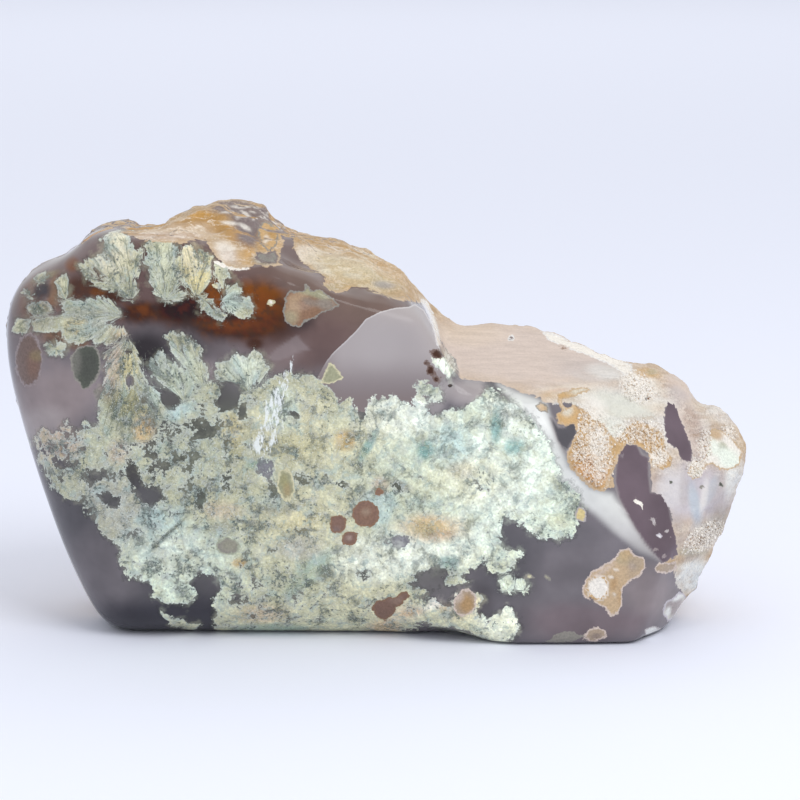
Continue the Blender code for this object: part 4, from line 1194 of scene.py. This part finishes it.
# %% Chalcedony: moss colour
# Painted shade: the moss's cells and cloudy patches are lighter in the middle and darker at the side, like
# lit lumps.
small_puff_painted_shade = remap(small["Distance"], 0.1, 0.75, 1.15, 0.84)
big_puff_painted_shade = remap(big["Distance"], 0.2, 0.8, 1.24, 0.76)
moss_painted_shade = times(small_puff_painted_shade, big_puff_painted_shade)
cluster_painted_shade = remap(cluster, 0.36, 0.64, 1.2, 0.74)
moss_painted_shade = times(moss_painted_shade, cluster_painted_shade)
moss_now = scaled(moss_paint, moss_painted_shade)
pale = remap(small_parts[0], 0.45, 1.0, 0.0, 0.48)
paler = scaled(moss_paint, 1.42)
moss_now = blend(pale, moss_now, paler)
hue = fractal(grown, 0.5, 4.0, 0.65)
creamy = remap(hue, 0.5, 0.62, 0.0, 0.32)
moss_now = blend(creamy, moss_now, paint("#CDC9A0"))
bluish = remap(hue, 0.47, 0.36, 0.0, 0.55)
moss_now = blend(bluish, moss_now, paint("#9FB4B0"))
# Painted shade at a finer size: each small cell is lighter in its middle and darker at its edge.
fine = add(tree, "TexVoronoi", {"Vector": bumpy, "Scale": 2.2}, output="Distance")
fine = remap(fine, 0.1, 0.8, 1.1, 0.86)
moss_now = scaled(moss_now, fine)
fringe = remap(frond_edge, 0.1, 0.6, 0.5, 0.0)
moss_now = blend(fringe, moss_now, paint("#D2DCDA"))
# Painted shade: the crevices between the puffs are darkened.
crevice_painted_shade = times_plus(small["Distance"], 0.55, big["Distance"])
crevice_painted_shade = times_plus(cluster, 1.4, crevice_painted_shade)
crevice_painted_shade = remap(crevice_painted_shade, 1.66, 1.86, 0.0, 0.62)
thin = remap(moss_edge, 0.84, 1.2, 1.0, 0.5)
crevice_painted_shade = times(crevice_painted_shade, thin)
moss_now = blend(crevice_painted_shade, moss_now, paint("#565F57"))
greyed = remap(deep_noise, 0.54, 0.64, 0.0, 0.28)
moss_now = blend(greyed, moss_now, paint("#AEB1AE"))
veins = fractal(turned(grow_place, 0.0, (0.8, 0.3, 0.8)), 1.0, 3.0, 0.55, distortion=0.6)
veins = add(tree, "Math", {0: veins, 1: 0.5}, operation="SUBTRACT")
veins = add(tree, "Math", {0: veins}, operation="ABSOLUTE")
vein = remap(veins, 0.026, 0.008, 0.0, 0.55)
vein = times(vein, fan)
moss_now = blend(vein, moss_now, paint("#5A6351"))
specks = fractal(place, 1.9, 3.0, 0.6)
speck = times_plus(cluster, 0.5, specks)
speck = remap(speck, 0.85, 0.91, 0.0, 0.8)
speck = times(speck, thin)
moss_now = blend(speck, moss_now, paint("#4E5A58"))
sparkle = remap(dust, 0.57, 0.66, 0.0, 0.48)
moss_now = blend(sparkle, moss_now, paint("#EEF2EA"))
body = blend(moss_mask, body, moss_now)
print("moss:", len(tree.nodes), "nodes so far")

# %% [markdown]
# A healed fracture catches the light as white splinters. Its outline is filled with a noise that is drawn
# out along the crack, and only the strongest part of that noise is kept.

# %% Chalcedony: the white fracture
shards = fractal(turned(place, -18.0, (1.6, 1.0, 0.4)), 1.0, 6.0, 0.8)
shard_edge = times_plus(shards, 8.0, fracture_edge)
shard = remap(shard_edge, 4.62, 4.82, 0.0, 0.85)
body = blend(shard, body, paint("#EAEFEE"))
print("fracture:", len(tree.nodes), "nodes so far")

# %% [markdown]
# Rough skin is grainy, and where it is layered, ochre sheets and pale crests follow bent, tilted bands. The
# split face has faint level stripes instead. The skin covers all that lies under it.

# %% Chalcedony: rough skin
skin_rough = fractal(place, 0.8, 5.0, 0.65)
skin_now = times_plus(skin_rough, 2.0, skin_edge)
skin_mask = remap(skin_now, 0.92, 1.04, interpolation_type="SMOOTHSTEP")
grain_low = times_plus(grain_share, -0.24, 1.0)
grain_high = times_plus(grain_share, 0.2, 1.0)
skin_light = remap(grit, 0.34, 0.66, grain_low, grain_high)
skin_colour = scaled(skin_paint, skin_light)
bent = pushed(place, ripple, 1.6)
layers = fractal(turned(bent, -20.0, (0.13, 0.3, 0.75)), 1.0, 5.0, 0.6)
ochre_sheet = remap(layers, 0.5, 0.66, 0.0, 0.65)
ochre_sheet = times(ochre_sheet, layered_share)
skin_colour = blend(ochre_sheet, skin_colour, paint("#A17C50"))
crest = add(tree, "Math", {0: layers, 1: 0.47}, operation="SUBTRACT")
crest = add(tree, "Math", {0: crest}, operation="ABSOLUTE")
crest = remap(crest, 0.025, 0.008, 0.0, 0.75)
crest = times(crest, layered_share)
skin_colour = blend(crest, skin_colour, paint("#EDE3D4"))
stripes = fractal(turned(place, 0.0, (0.05, 0.6, 2.4)), 1.0, 4.0, 0.7)
stripes = remap(stripes, 0.3, 0.7, 0.9, 1.08)
stripes = add(tree, "Mix", {0: striped_share, 2: 1.0, 3: stripes})
skin_colour = scaled(skin_colour, stripes)
body = blend(skin_mask, body, skin_colour)
print("rough skin:", len(tree.nodes), "nodes so far")

# %% [markdown]
# Inclusions come last, since they cut through moss and skin alike. Their edge is frayed by a noise, with a
# thin rim before the heart begins. On the druse, bright and dark grains stand between the crystals of the
# mesh.

# %% Chalcedony: inclusions and druse
patch_rough = fractal(place, 0.9, 6.0, 0.7)
patch_now = times_plus(patch_rough, 1.7, patch_edge)
patch_mask = remap(patch_now, 0.85, 0.97, interpolation_type="SMOOTHSTEP")
heart_mask = remap(patch_now, 1.05, 1.35, interpolation_type="SMOOTHSTEP")
patch_colour = blend(heart_mask, rim_paint, heart_paint)
patch_light = remap(grit, 0.32, 0.68, 0.8, 1.18)
patch_colour = scaled(patch_colour, patch_light)
body = blend(patch_mask, body, patch_colour)
grains = add(tree, "TexVoronoi", {"Vector": place, "Scale": 2.3}).node.outputs
grain_parts = add(tree, "SeparateColor", {0: grains["Color"]}).node.outputs
bright_grain = remap(grain_parts[0], 0.5, 0.6, 0.0, 0.7)
bright_grain = times(bright_grain, druse_share)
body = blend(bright_grain, body, paint("#F2ECE2"))
dark_grain = remap(grain_parts[0], 0.26, 0.18, 0.0, 0.6)
dark_grain = times(dark_grain, druse_share)
body = blend(dark_grain, body, paint("#A98C6A"))
tree.links.new(body, shader.inputs["Base Color"])
print("inclusions and druse:", len(tree.nodes), "nodes so far")

# %% [markdown]
# The finish decides how the light comes back: glassy where the stone was ground, matt on the rind. Fine
# grit is only a bump in the shading, because it is too small to show in the outline.

# %% Chalcedony: gloss and fine relief
gloss = remap(matt_share, 0.0, 1.0, 0.1, 0.72)
tree.links.new(gloss, shader.inputs["Roughness"])
shader.inputs["IOR"].default_value = 1.54
shader.inputs["Specular IOR Level"].default_value = 0.2
bumps = times(grit, grain_share)
relief_now = add(tree, "Bump", {"Height": bumps, "Strength": 0.5, "Distance": 0.0004})
tree.links.new(relief_now, shader.inputs["Normal"])
stone.data.materials.append(agate)
stone.data.shade_smooth()
print("chalcedony:", len(tree.nodes), "nodes")

# %% [markdown]
# The crystals of the druse are quartz as well, clear to white, stained by what they grow on. They are small
# and glossy, so each one is a spark of light and needs no more than its own colour.

# %% Sugary quartz
quartz = bpy.data.materials.new("sugary_quartz_druse")
quartz.use_nodes = True
quartz_shader = quartz.node_tree.nodes["Principled BSDF"]
quartz_paint = add(quartz.node_tree, "Attribute", attribute_name="crystal_tint")
quartz.node_tree.links.new(quartz_paint, quartz_shader.inputs["Base Color"])
quartz_shader.inputs["Roughness"].default_value = 0.16
quartz_shader.inputs["IOR"].default_value = 1.54
crystals.data.materials.append(quartz)
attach(crystals, "root")
print("druse:", quartz.name)

# %% [markdown]
# The finished stone takes the place of the plain solid. It is one piece and nothing on it moves, so it rides
# the root body, as the crystals do.

# %% The stone stands for the solid
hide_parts("moss_agate")
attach(stone, "root")
print("stone:", stone.name)
